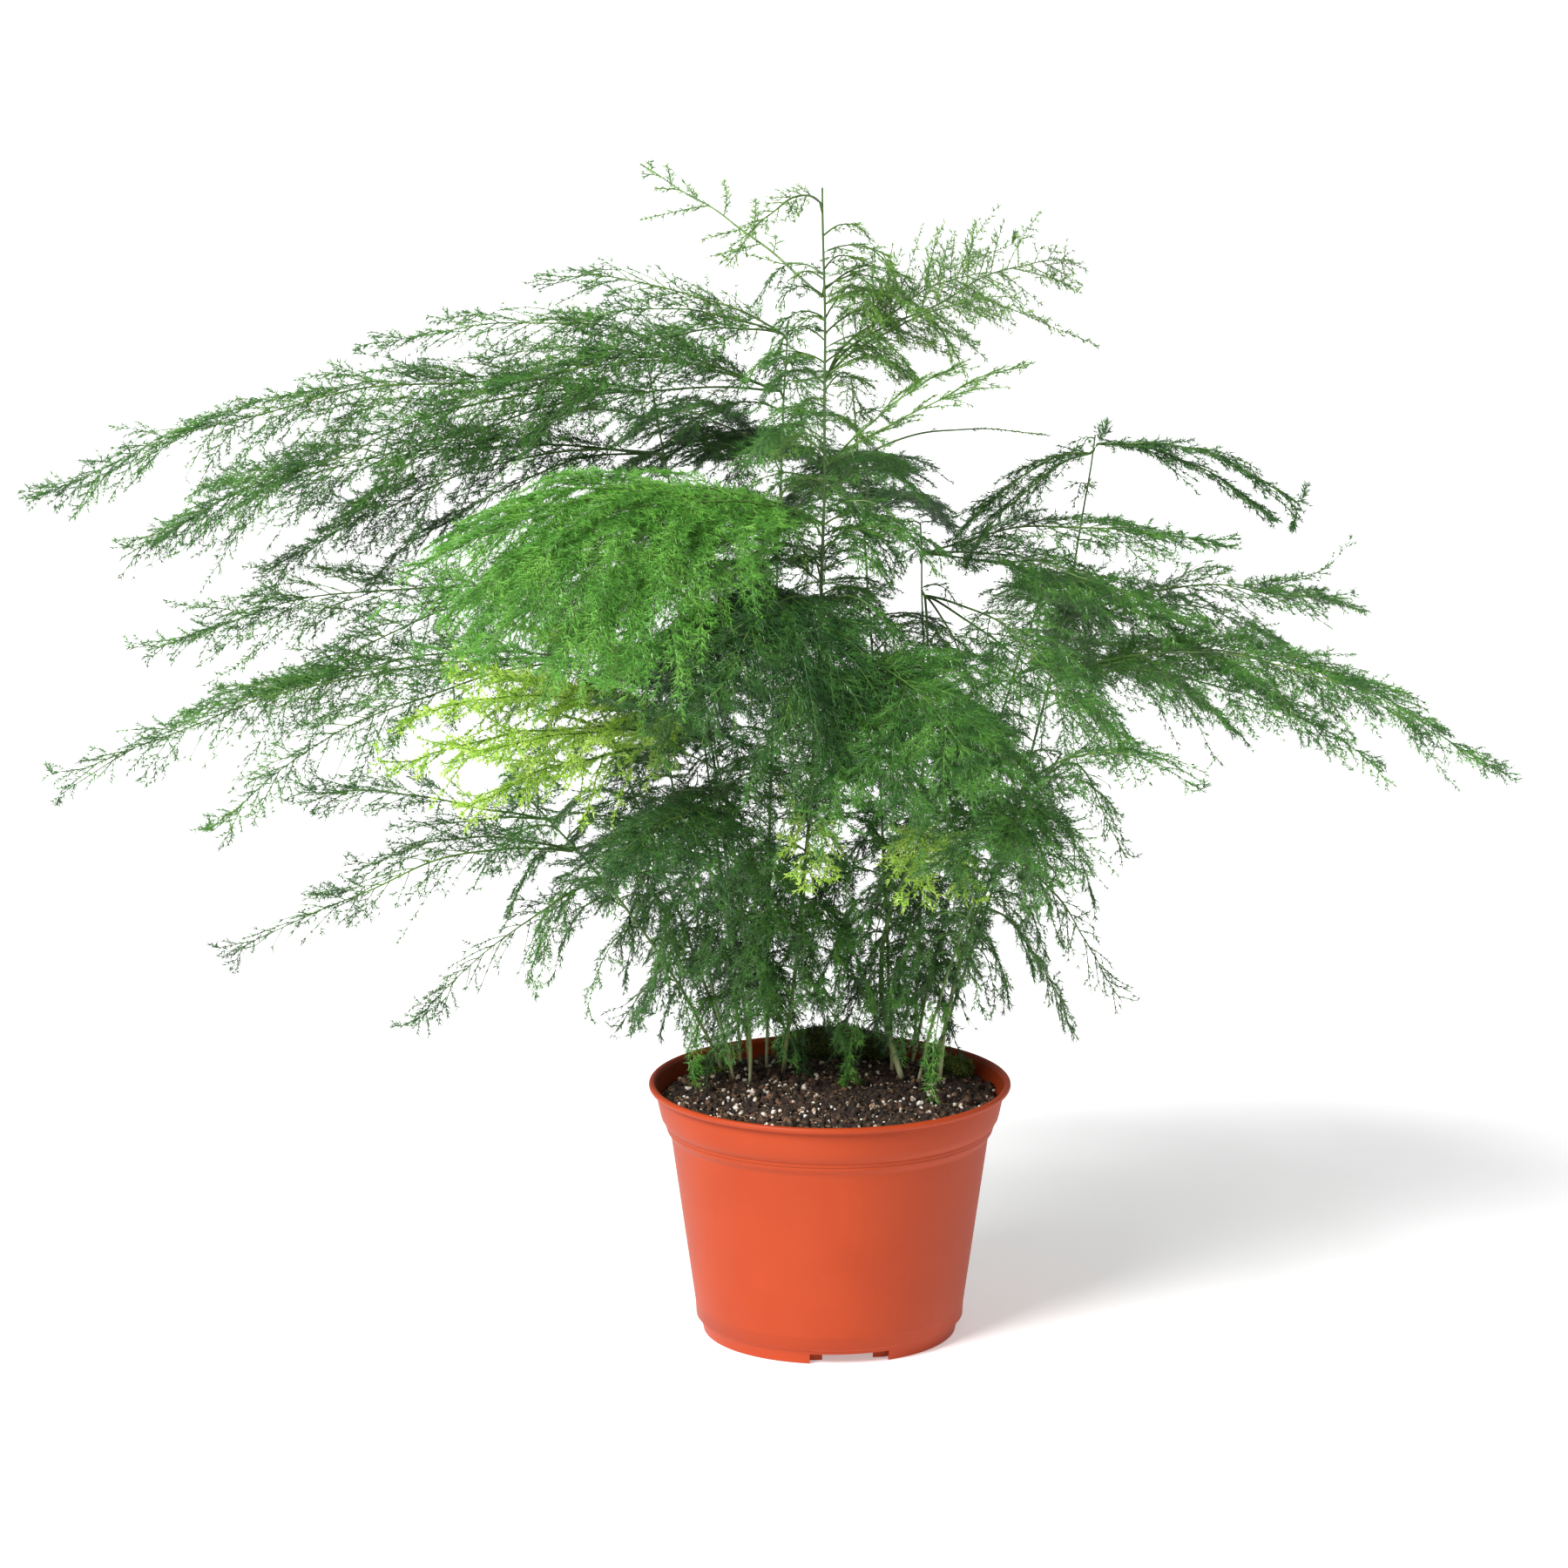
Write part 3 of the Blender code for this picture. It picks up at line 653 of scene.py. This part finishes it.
def plate_of(node):
    """The arching surface of a CAD frond, read from its mesh as smooth curves."""
    points, faces = cad_mesh(node)
    centred = points - points.mean(0)
    axis = np.linalg.svd(centred, full_matrices=False)[2][0]
    for _ in range(3):
        run = points @ axis
        start = points[run < run.min() + 1.2 * MM].mean(0)
        end = points[run > run.max() - 1.2 * MM].mean(0)
        axis = unit(end - start)
    lines = np.concatenate([line for line, _ in cane_lines.values()])
    if np.linalg.norm(lines - end, axis=1).min() < np.linalg.norm(lines - start, axis=1).min():
        start, end, axis = end, start, -axis
    length = np.linalg.norm(end - start)
    shares = np.linspace(0.02, 0.98, 33)
    cuts = slices(points, faces, start, axis, shares * length)
    spans = []
    for cut in cuts:
        across = np.linalg.svd(cut - cut.mean(0), full_matrices=False)[2][0]
        spans.append((np.ptp(cut @ across), across))
    side = max(spans, key=lambda span: span[0])[1]
    side = unit(side - axis * (side @ axis))
    if np.cross(side, axis)[2] < 0:
        side = -side
    up = np.cross(side, axis)
    middles, halves, cups = [], [], []
    for share, cut in zip(shares, cuts):
        across = cut @ side
        middle, half = (across.max() + across.min()) / 2, np.ptp(across) / 2
        fit = np.polynomial.polynomial.polyfit((across - middle) / half, cut @ up, 2)
        middles.append(axis * (start @ axis + share * length) + side * middle + up * fit[0])
        halves.append(half)
        cups.append(fit[2])
    middles = np.array([start] + middles + [end])
    run = np.concatenate([[0], shares, [1]])
    even = np.linspace(0, 1, 41)
    rib = np.stack([np.polynomial.Polynomial.fit(run, middles[:, k], 5)(even) for k in range(3)], 1)
    many = np.ones((len(even), 1))
    return Plate(rib, side * many, up * many, np.interp(even, shares, halves), np.interp(even, shares, cups))


def spaced(lengths, gap):
    """Even places along many twigs: which twig each is on, and its share of the way along."""
    counts = np.maximum(1, (lengths / gap).astype(int))
    which = np.repeat(np.arange(len(counts)), counts)
    first = np.repeat(np.cumsum(counts) - counts, counts)
    order = np.arange(len(which)) - first
    return which, (order + 0.5) / np.repeat(counts, counts), np.where(order % 2 == 0, 1.0, -1.0)


def on_twigs(paths, which, share):
    """Places on many twigs and the way that each twig runs there."""
    spot = share * (paths.shape[1] - 1)
    low = np.minimum(spot.astype(int), paths.shape[1] - 2)
    here, after = paths[which, low], paths[which, low + 1]
    return here + (after - here) * (spot - low)[:, None], unit(after - here)


def path_lengths(paths):
    return np.linalg.norm(np.diff(paths, axis=1), axis=-1).sum(1)


def patches(rng, size):
    """Uneven growth: a function that is near 1 where growth is thick and near 0 where it is thin."""
    waves = rng.normal(0, math.pi / size, (6, 3))
    phases = rng.uniform(0, math.tau, 6)

    def thickness(places):
        return 1 / (1 + np.exp(-1.3 * np.sin(places @ waves.T + phases).sum(-1)))

    return thickness


def tufts(growth, paths, up, rng, look, gap, thickness, first_share):
    """Bunches of needles along twigs, opened out mostly in the plane of the frond."""
    which, share, _ = spaced(path_lengths(paths) * (1 - first_share), gap)
    feet, heading = on_twigs(paths, which, first_share + share * (1 - first_share))
    kept = rng.random(len(which)) < 1 - 0.7 * look["thin"] * (1 - thickness(feet))
    which, feet, heading = which[kept], feet[kept], heading[kept]
    each = look["needles_each"]
    feet, heading = np.repeat(feet, each, 0), np.repeat(heading, each, 0)
    feet += rng.normal(0, 0.15 * MM, feet.shape)
    upward = np.repeat(up[which], each, 0)
    flank = unit(np.cross(heading, upward))
    top = np.cross(flank, heading)
    around = rng.random(len(feet)) * math.tau
    out = flank * np.cos(around)[:, None] + top * (look["flatness"] * np.sin(around))[:, None]
    opened = np.radians(rng.normal(look["opening"], 12, len(feet)))[:, None]
    along = unit(heading * np.cos(opened) + unit(out) * np.sin(opened))
    lengths = look["needle"] * (0.6 + 0.7 * rng.random(len(feet)))
    growth.needles(feet, along, lengths, np.full(len(feet), look["needle_width"]), 0)


def grow_twigs(plate, thickness, rng, look):
    """The twigs to the left and right of a rib: their paths, their lengths and the way up from each."""
    count = max(4, int(plate.length * (1 - look["bare"]) / look["twig_gap"]))
    where = look["bare"] + (0.985 - look["bare"]) * (np.arange(count) + 0.5) / count
    where += rng.normal(0, 0.2 / count, count)
    within = np.clip(where, 0, 1)
    hand = np.where(np.arange(count) % 2 == 0, 1.0, -1.0)
    steps = np.linspace(0, 1, 8)
    slant = np.radians(look["slant"] - 20 * where + rng.normal(0, 8, count))
    grown = thickness(plate.read(plate.rib, within))
    reach = plate.read(plate.half, within) * (0.55 + 0.65 * rng.random(count)) * look["spread"]
    reach = reach * (1 - 0.5 * look["thin"] * (1 - grown))
    reach = np.maximum(reach, look["least_twig"] * (1 - 0.55 * where))
    ahead = reach / np.tan(slant) / plate.length
    run = where[:, None] + ahead[:, None] * (0.8 * steps + 0.2 * steps**2)
    twigs = plate.at(np.clip(run, 0, 1.04), (hand * reach)[:, None] * steps)
    size = path_lengths(twigs)
    upward = plate.read(plate.up, within)
    lift = rng.normal(0, look["unruly"], count) * size
    twigs = twigs + upward[:, None] * (lift[:, None] * steps**1.5)[..., None]
    twigs[..., 2] -= (look["droop"] * size)[:, None] * steps**2
    return twigs, size, upward


def rib_from_cane(plate):
    """The rib, with its foot carried on into the nearest cane if that is close by."""
    lines = np.concatenate([line for line, _ in cane_lines.values()])
    gaps = np.linalg.norm(lines - plate.rib[0], axis=1)
    if gaps.min() < 8 * MM:
        return np.concatenate([lines[gaps.argmin()][None], plate.rib])
    return plate.rib


def grow_fine_twigs(twigs, size, upward, thickness, rng, look):
    """The finer twigs that fork from the twigs: their paths and the way up from each."""
    which, share, hand = spaced(size, look["fine_gap"])
    feet, heading = on_twigs(twigs, which, share * 0.97)
    kept = rng.random(len(which)) < 1 - look["thin"] * (1 - thickness(feet))
    which, share, hand, feet, heading = which[kept], share[kept], hand[kept], feet[kept], heading[kept]
    flank = unit(np.cross(heading, upward[which])) * hand[:, None]
    turn = np.radians(rng.normal(look["fine_turn"], 11, len(which)))[:, None]
    tilt = upward[which] * rng.normal(0, look["fluff"], (len(which), 1))
    leaving = unit(heading * np.cos(turn) + flank * np.sin(turn) + tilt)
    shape = np.minimum(0.55 + 2.2 * share, 1) * np.clip(1.12 - share, 0.15, 1) ** 0.8
    long = look["fine"] * shape * (0.65 + 0.5 * rng.random(len(which)))
    long = np.minimum(long, 0.5 * size[which] + 1.5 * MM)
    bend = np.linspace(0, 1, 3)
    fine = feet[:, None] + leaving[:, None] * (long[:, None] * bend)[..., None]
    fine += heading[:, None] * (0.18 * long[:, None] * bend**2)[..., None]
    fine[..., 2] -= look["droop"] * 0.6 * long[:, None] * bend**2
    return fine, upward[which]


def grow_frond(growth, plate, rng, look):
    """Fills a plate with a rib, twigs, finer twigs and needles."""
    plate = plate.wandering(rng, look["wander"])
    thickness = patches(rng, look["patch"])
    twigs, size, upward = grow_twigs(plate, thickness, rng, look)
    rib = rib_from_cane(plate)
    growth.tubes(rib[None], look["rib"] * (1 - 0.75 * np.linspace(0, 1, len(rib)))[None], 6, 1)
    twig_radii = look["rib"] * 0.42 * (1 - 0.6 * np.linspace(0, 1, twigs.shape[1]))
    growth.tubes(twigs, np.tile(twig_radii, (len(twigs), 1)), 4, 1)
    fine, fine_up = grow_fine_twigs(twigs, size, upward, thickness, rng, look)
    fine_radii = 0.14 * MM * (1 - 0.4 * np.linspace(0, 1, fine.shape[1]))
    growth.tubes(fine, np.tile(fine_radii, (len(fine), 1)), 3, 1)
    gap, rib_up = look["tuft_gap"], plate.up[len(plate.up) // 2]
    tufts(growth, fine, fine_up, rng, look, gap, thickness, 0.1)
    tufts(growth, twigs, upward, rng, look, gap * 1.3, thickness, 0.1)
    tufts(growth, plate.rib[None], rib_up[None], rng, look, gap, thickness, 0.6)


plume = {
    "twig_gap": 4.2 * MM, "bare": 0.08, "spread": 1.0, "least_twig": 9 * MM, "slant": 50, "unruly": 0.14,
    "droop": 0.02, "rib": 0.6 * MM, "fine_gap": 2.6 * MM, "fine_turn": 42, "fluff": 0.16, "fine": 12 * MM,
    "tuft_gap": 1.4 * MM, "needles_each": 4, "flatness": 0.5, "opening": 38, "needle": 3.7 * MM,
    "needle_width": 0.34 * MM, "thin": 0.35, "patch": 42 * MM, "wander": 0.012, "lean": 14, "pitch": 0,
}  # fmt: skip


def foliage(name, dark, mid, light):
    """Needle colour: it drifts along the plume in soft patches, from the plume's own flat map."""
    material = new_material(name, 0.31)
    flat = material.node_tree.nodes.new("ShaderNodeUVMap")
    flat.uv_map = "OFBake"
    drift = noise(material, flat.outputs["UV"], 13, 5)
    ramp(material, drift, [(0.34, dark), (0.5, mid), (0.64, light)])
    return material


twig_green = foliage("twig_green", (0.045, 0.10, 0.020), (0.075, 0.16, 0.030), (0.14, 0.25, 0.045))
greens = {
    # Painted shade: dark is the mid needle green at about half its brightness, given to fronds and sprays
    # that stand low, at the back or under others.
    "dark": foliage("needles_dark", (0.014, 0.062, 0.014), (0.028, 0.108, 0.020), (0.062, 0.19, 0.030)),
    "mid": foliage("needles_mid", (0.028, 0.110, 0.018), (0.056, 0.190, 0.028), (0.11, 0.30, 0.042)),
    # Painted light: bright is a lighter, yellower copy of the needle green on frond bright_1; on the hanging
    # sprigs it is their young green.
    "bright": foliage("needles_bright", (0.085, 0.29, 0.035), (0.135, 0.40, 0.052), (0.23, 0.53, 0.085)),
    "top": foliage("needles_top", (0.075, 0.19, 0.035), (0.12, 0.27, 0.045), (0.20, 0.38, 0.065)),
    "young": foliage("needles_young", (0.28, 0.52, 0.045), (0.46, 0.73, 0.09), (0.64, 0.86, 0.18)),
}
lacy = dict(
    thin=0.7, unruly=0.2, slant=46, least_twig=13 * MM, fine=11 * MM, droop=0.0, lean=30, patch=36 * MM
)
arched = dict(
    twig_gap=3.8 * MM, fine=6 * MM, slant=26, spread=0.55, bare=0.0, thin=0.2, least_twig=6 * MM
)
young_growth = {
    "unruly": 0.35, "fine": 9 * MM, "flatness": 1.0, "needle": 3.0 * MM, "fluff": 0.5, "twig_gap": 4.6 * MM,
    "least_twig": 14 * MM, "needle_width": 0.56 * MM, "fine_gap": 3.2 * MM, "tuft_gap": 1.5 * MM,
    "thin": 0.1, "lean": 0,
}  # fmt: skip
# fmt: off
# The dark tone in this table is painted shade, and the bright tone on bright_1 is painted light.
habits = {  # tone, how it differs, and the smaller fronds beside it: degrees round, degrees up, size
    "bright_1": ("bright", dict(twig_gap=4.6 * MM, thin=0.12, fine=11 * MM, lean=8), [
        (8, -3, 0.97), (16, -7, 0.92), (22, -10, 0.84), (28, -16, 0.72),
        (-7, 3, 0.9), (-12, -6, 0.85), (5, -15, 0.7),
    ]),
    "bright_2": ("dark", dict(thin=0.15, fine=11 * MM), [
        (12, -6, 0.9), (-14, -8, 0.9), (26, -12, 0.8), (-28, -6, 0.8),
    ]),
    "middle_1": ("mid", dict(thin=0.15, fine=11 * MM), [
        (14, -6, 0.9), (-14, -4, 0.9), (-28, -10, 0.8), (28, -12, 0.8),
    ]),
    "middle_2": ("mid", dict(thin=0.3, fine=9 * MM, pitch=-8, bare=0.25), [
        (12, -20, 0.85), (-16, -24, 0.8), (-30, -30, 0.8),
    ]),
    "middle_3": ("mid", dict(thin=0.4, fine=8 * MM, spread=0.7, pitch=4), []),
    "middle_4": ("mid", dict(thin=0.2), [(14, -8, 0.85), (-16, -8, 0.8)]),
    "front_left": ("dark", dict(thin=0.2), [(12, -8, 0.9), (-14, -6, 0.85), (-30, -12, 0.8)]),
    "upper_left_1": ("mid", dict(lacy, unruly=0.1, pitch=-6, thin=0.9), [(12, -14, 0.9), (24, -22, 0.8)]),
    "upper_left_2": ("mid", lacy, [(12, -8, 0.9), (-12, -3, 0.75), (6, -17, 0.8)]),
    "upper_left_3": ("mid", dict(lacy, thin=0.5, pitch=2), [(8, -3, 0.9), (4, -9, 0.55)]),
    "upper_left_4": ("dark", lacy, [(10, -3, 0.8), (5, -11, 0.6)]),
    "upper_back": ("dark", {}, [(14, -8, 0.8), (-16, -5, 0.8), (-32, -8, 0.7)]),
    "left_1": ("mid", lacy, [(12, -8, 0.8)]),
    "left_2": ("mid", lacy, [(12, -6, 0.8), (-12, 4, 0.65)]),
    "left_low_1": ("dark", dict(lacy, thin=0.9), [(12, -8, 0.6)]),
    "left_low_2": ("dark", dict(lacy, thin=0.9), [(-14, 8, 0.6)]),
    "left_low_3": ("dark", dict(lacy, thin=0.85), []),
    "left_low_4": ("dark", dict(lacy, thin=0.85), []),
    "right_1": ("mid", dict(twig_gap=3.8 * MM, thin=0.6, lean=24), [(8, -9, 0.8)]),
    "right_2": ("mid", dict(twig_gap=3.2 * MM, thin=0.4, spread=1.1, fine=10 * MM, lean=24), [
        (6, 3, 0.8), (-7, -3, 0.75),
    ]),
    "right_3": ("mid", dict(thin=0.7, spread=0.7, fine=8 * MM), []),
    "right_low_1": ("mid", lacy, []),
    "right_low_2": ("mid", lacy, []),
    "right_flat": ("mid", dict(twig_gap=3.6 * MM, thin=0.3, spread=1.25), [(-10, -14, 0.95), (8, -22, 0.9)]),
    "right_arch_1": ("dark", arched, [(5, -6, 0.9)]),
    "right_arch_2": ("dark", arched, [(7, -6, 0.95)]),
    "top_left": ("top", dict(twig_gap=8 * MM, fine=4 * MM, thin=0.6, lean=45), []),
    "top_hook": ("top", dict(twig_gap=3.6 * MM, fine=5 * MM, thin=0.1, least_twig=7 * MM, lean=30), []),
    "top_right": ("top", dict(twig_gap=4.5 * MM, fine=8 * MM, thin=0.5), [(10, 1, 0.85), (-12, 2, 0.65)]),
    "top_low": ("top", dict(twig_gap=6 * MM, fine=8 * MM), [(10, 10, 0.7)]),
    "whip": ("top", dict(twig_gap=16 * MM, fine=2 * MM, least_twig=3 * MM, needle=2.5 * MM), []),
    "young_left": ("young", dict(spread=1.4), [
        (9, -8, 0.9), (-10, 7, 0.85), (2, 10, 0.7), (5, -18, 0.85), (-4, -10, 1.0),
    ]),
    "young_middle": ("young", {}, []),
    "young_spike": ("young", {}, [(8, 5, 0.8)]),
    "young_right": ("young", {}, [(20, -4, 0.8)]),
}
# fmt: on
for number in (1, 3, 4):
    habits[f"back_{number}"] = ("mid", {"lean": 0}, [(12, -6, 0.8), (-12, -6, 0.8)])
for number in (2, 5):
    habits[f"back_{number}"] = ("dark", {"lean": 0}, [(14, -6, 0.8), (-14, -8, 0.8)])

for index, node in enumerate(sorted(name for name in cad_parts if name.startswith("frond_"))):
    rng = np.random.default_rng(100 + index)
    plate = plate_of(node)
    tone, changes, beside = habits[node.removeprefix("frond_")]
    look = {**plume, **(young_growth if tone == "young" else {}), **changes}
    leaves = [plate.turned(0, look["pitch"], 1).leaning(look["lean"])]
    for turn in beside:
        leaves.append(plate.turned(*turn).leaning(look["lean"] + rng.uniform(-10, 10)))
    for first in range(0, len(leaves), 3):
        growth = Growth()
        for leaf in leaves[first : first + 3]:
            grow_frond(growth, leaf, rng, look)
        name = node.replace("frond", "plume") + "_beside" * (first > 0) + f"_{first // 3}" * (first > 3)
        slot = "young_frond" if tone == "young" else "frond"
        replaced = [node] if first == 0 else []
        grown_piece(growth, name, slot, [greens[tone], twig_green], *replaced)

# ------------------------------------------------------------------------------
# Side sprays: the joints of a cane carry small feathery branches, short near the mix and longer
# higher up, which arch over and hang around the canes. Four bright young sprigs hang lowest.
# ------------------------------------------------------------------------------


def arching(start, heading, length, drop, half):
    """The plate of a spray that leaves its cane along heading and bends over under its own weight."""
    flat = unit(np.array([heading[0], heading[1], 0.0]))
    run = np.linspace(0, 1, 17)[:, None]
    rise = heading[2] * length
    rib = start + flat * length * run * (1 - 0.15 * run)
    rib = rib + np.array([0, 0, 1.0]) * (rise * run - (rise + drop * length) * run**2)
    side = unit(np.cross(flat, [0, 0, 1.0])) * np.ones_like(run)
    forward = unit(np.gradient(rib, axis=0))
    up = np.cross(side, forward)
    width = half * np.sin(np.pi * np.clip(run[:, 0], 0.02, 0.98) ** 0.7) ** 0.8
    return Plate(rib, side, up, width, -0.25 * width)


spray = dict(
    plume, bare=0.05, least_twig=6 * MM, fine=9 * MM, rib=0.45 * MM, twig_gap=4.4 * MM, thin=0.3
)
# fmt: off
# The dark tone in these rows is painted shade.
spray_rows = (  # place, tone, then stretches of the cane in millimetres: from, to, gap, and the sprays'
    # lengths at both ends. A stretch that doesn't go all round also has the way it faces and its swing.
    ("main_low", "mid", [(36, 150, 7, 32, 62, 90, 125), (40, 120, 6, 28, 46, 285, 90)]),
    ("main_high", "top", [
        (250, 366, 17, 30, 18, 180, 75), (306, 350, 6, 54, 62, 26, 45), (342, 374, 7, 42, 30, 26, 60),
    ]),
    ("main_left", "mid", [(226, 296, 6, 50, 38, 165, 65), (300, 362, 9, 42, 30, 175, 60)]),
    ("left_1", "dark", [(46, 120, 7, 30, 48), (120, 182, 6, 54, 68)]),
    ("left_2", "mid", [(28, 110, 6, 28, 48), (110, 158, 7, 54, 66)]),
    ("left_3", "mid", [(50, 110, 8, 28, 44), (110, 218, 10, 50, 70)]),
    ("left_4", "dark", [(34, 120, 8, 30, 52), (120, 215, 10, 56, 74)]),
    ("left_4_top", "dark", [(205, 294, 9, 72, 60)]),
    ("left_5", "dark", [(24, 120, 7, 28, 52), (120, 215, 9, 58, 74)]),
    ("left_5_top", "mid", [(205, 312, 9, 72, 48, 180, 150)]),
    ("left_6", "mid", [(44, 80, 9, 24, 34), (80, 136, 5, 42, 54)]),
    ("left_7", "dark", [(26, 100, 8, 28, 46), (100, 192, 11, 54, 72)]),
    ("right_1", "mid", [(36, 114, 5, 24, 36, 80, 150)]),
    ("right_2", "mid", [(52, 138, 11, 22, 42)]),
    ("right_3", "mid", [(36, 120, 8, 26, 44), (120, 176, 7, 46, 50), (200, 270, 22, 24, 18)]),
    ("right_4", "dark", [(24, 130, 5, 28, 50), (130, 222, 8, 50, 52), (230, 292, 15, 26, 18)]),
    ("right_5", "dark", [(30, 130, 6, 30, 50), (130, 186, 8, 44, 40), (192, 236, 14, 26, 20)]),
    ("right_6", "mid", [(48, 80, 8, 20, 28), (80, 152, 7, 36, 54)]),
    ("right_7", "dark", [(26, 100, 8, 28, 46), (100, 186, 12, 54, 70)]),
    ("main_right", "mid", [(160, 246, 5, 42, 40, 40, 110), (236, 276, 7, 56, 62, 12, 50)]),
)
# fmt: on


def place_on(cane, above):
    """The place on a cane at a height above its foot, in metres."""
    line, _ = cane_lines[cane]
    height = line[:, 2] - line[0, 2]
    return np.array([np.interp(above, height, line[:, k]) for k in range(3)])


for index, (label, tone, stretches) in enumerate(spray_rows):
    rng = np.random.default_rng(500 + index)
    cane = next(name for name in canes if label.startswith(name.removeprefix("cane_")))
    growth = Growth()
    for low, high, gap, short, long, *way in stretches:
        facing, swing = way or (0, 180)
        for order, above in enumerate(np.arange(low, high, gap) * MM):
            turn = (order * 137.5 + rng.normal(0, 17)) % 360 - 180
            azimuth = math.radians(facing + turn * swing / 180)
            reach = np.interp(above / MM, (low, high), (short, long)) * MM * rng.uniform(0.75, 1.15)
            climb = rng.uniform(0.4, 0.9) if above < 0.2 or facing else rng.uniform(0.3, 0.7)
            drop = rng.uniform(0.6, 1.2) if above < 0.11 else rng.uniform(0.05, 0.4)
            drop = min(drop, 0.85 * above / reach)
            heading = np.array([math.cos(azimuth), math.sin(azimuth), climb])
            plate = arching(place_on(cane, above), heading, reach, drop, reach * 0.26)
            grow_frond(growth, plate, rng, spray)
    grown_piece(growth, "sprays_" + label, "frond", [greens[tone], twig_green])

sprig = dict(spray, least_twig=4.5 * MM, fine=4 * MM, twig_gap=2.4 * MM, thin=0, unruly=0.3)
growth = Growth()
rng = np.random.default_rng(900)
for cane, above, facing, length, drop in (
    ("cane_left_1", 36, 240, 24, 1.3),
    ("cane_right_1", 38, 232, 30, 1.15),
    ("cane_right_6", 40, 262, 24, 1.5),
    ("cane_right_5", 44, 250, 26, 1.4),
):
    heading = np.array([math.cos(math.radians(facing)), math.sin(math.radians(facing)), 0.5])
    plate = arching(place_on(cane, above * MM), heading, length * MM, drop, 4.5 * MM)
    grow_frond(growth, plate, rng, sprig)
grown_piece(growth, "hanging_sprigs", "young_frond", [greens["bright"], twig_green])

# ------------------------------------------------------------------------------
# The room: a plain pale floor, soft studio light from the front left, and a camera that stands in
# front and looks a little down.
# ------------------------------------------------------------------------------
floor_mesh = bpy.data.meshes.new("floor")
floor_mesh.from_pydata([(-6, -6, 0), (6, -6, 0), (6, 6, 0), (-6, 6, 0)], [], [(0, 1, 2, 3)])
floor = new_object("floor", floor_mesh)
white = (1, 1, 1, 1)
floor_paint = new_material("floor_paint", 0.7, Emission_Color=white, Emission_Strength=0.36)
shader_of(floor_paint).inputs["Base Color"].default_value = (0.92, 0.92, 0.92, 1)
floor_mesh.materials.append(floor_paint)

world = bpy.data.worlds.new("studio")
bpy.context.scene.world = world
world.use_nodes = True
sky = world.node_tree.nodes["Background"]
sky.inputs["Color"].default_value = white
sky.inputs["Strength"].default_value = 0.36
bpy.context.scene.view_settings.view_transform = "Standard"

sun = bpy.data.lights.new("key", "SUN")
sun.energy = 4.7
sun.angle = math.radians(28)
key = new_object("key", sun)
key.rotation_euler = Vector((0.60, 0.62, -0.76)).to_track_quat("-Z", "Y").to_euler()

camera = new_object("camera", bpy.data.cameras.new("camera"))
camera.data.sensor_width = 36
camera.data.lens = 146.4
camera.location = (pot_x - 0.0196, pot_y - 2.636, 0.8315)
camera.rotation_euler = (math.radians(90 - 12.65), 0, 0)
bpy.context.scene.camera = camera
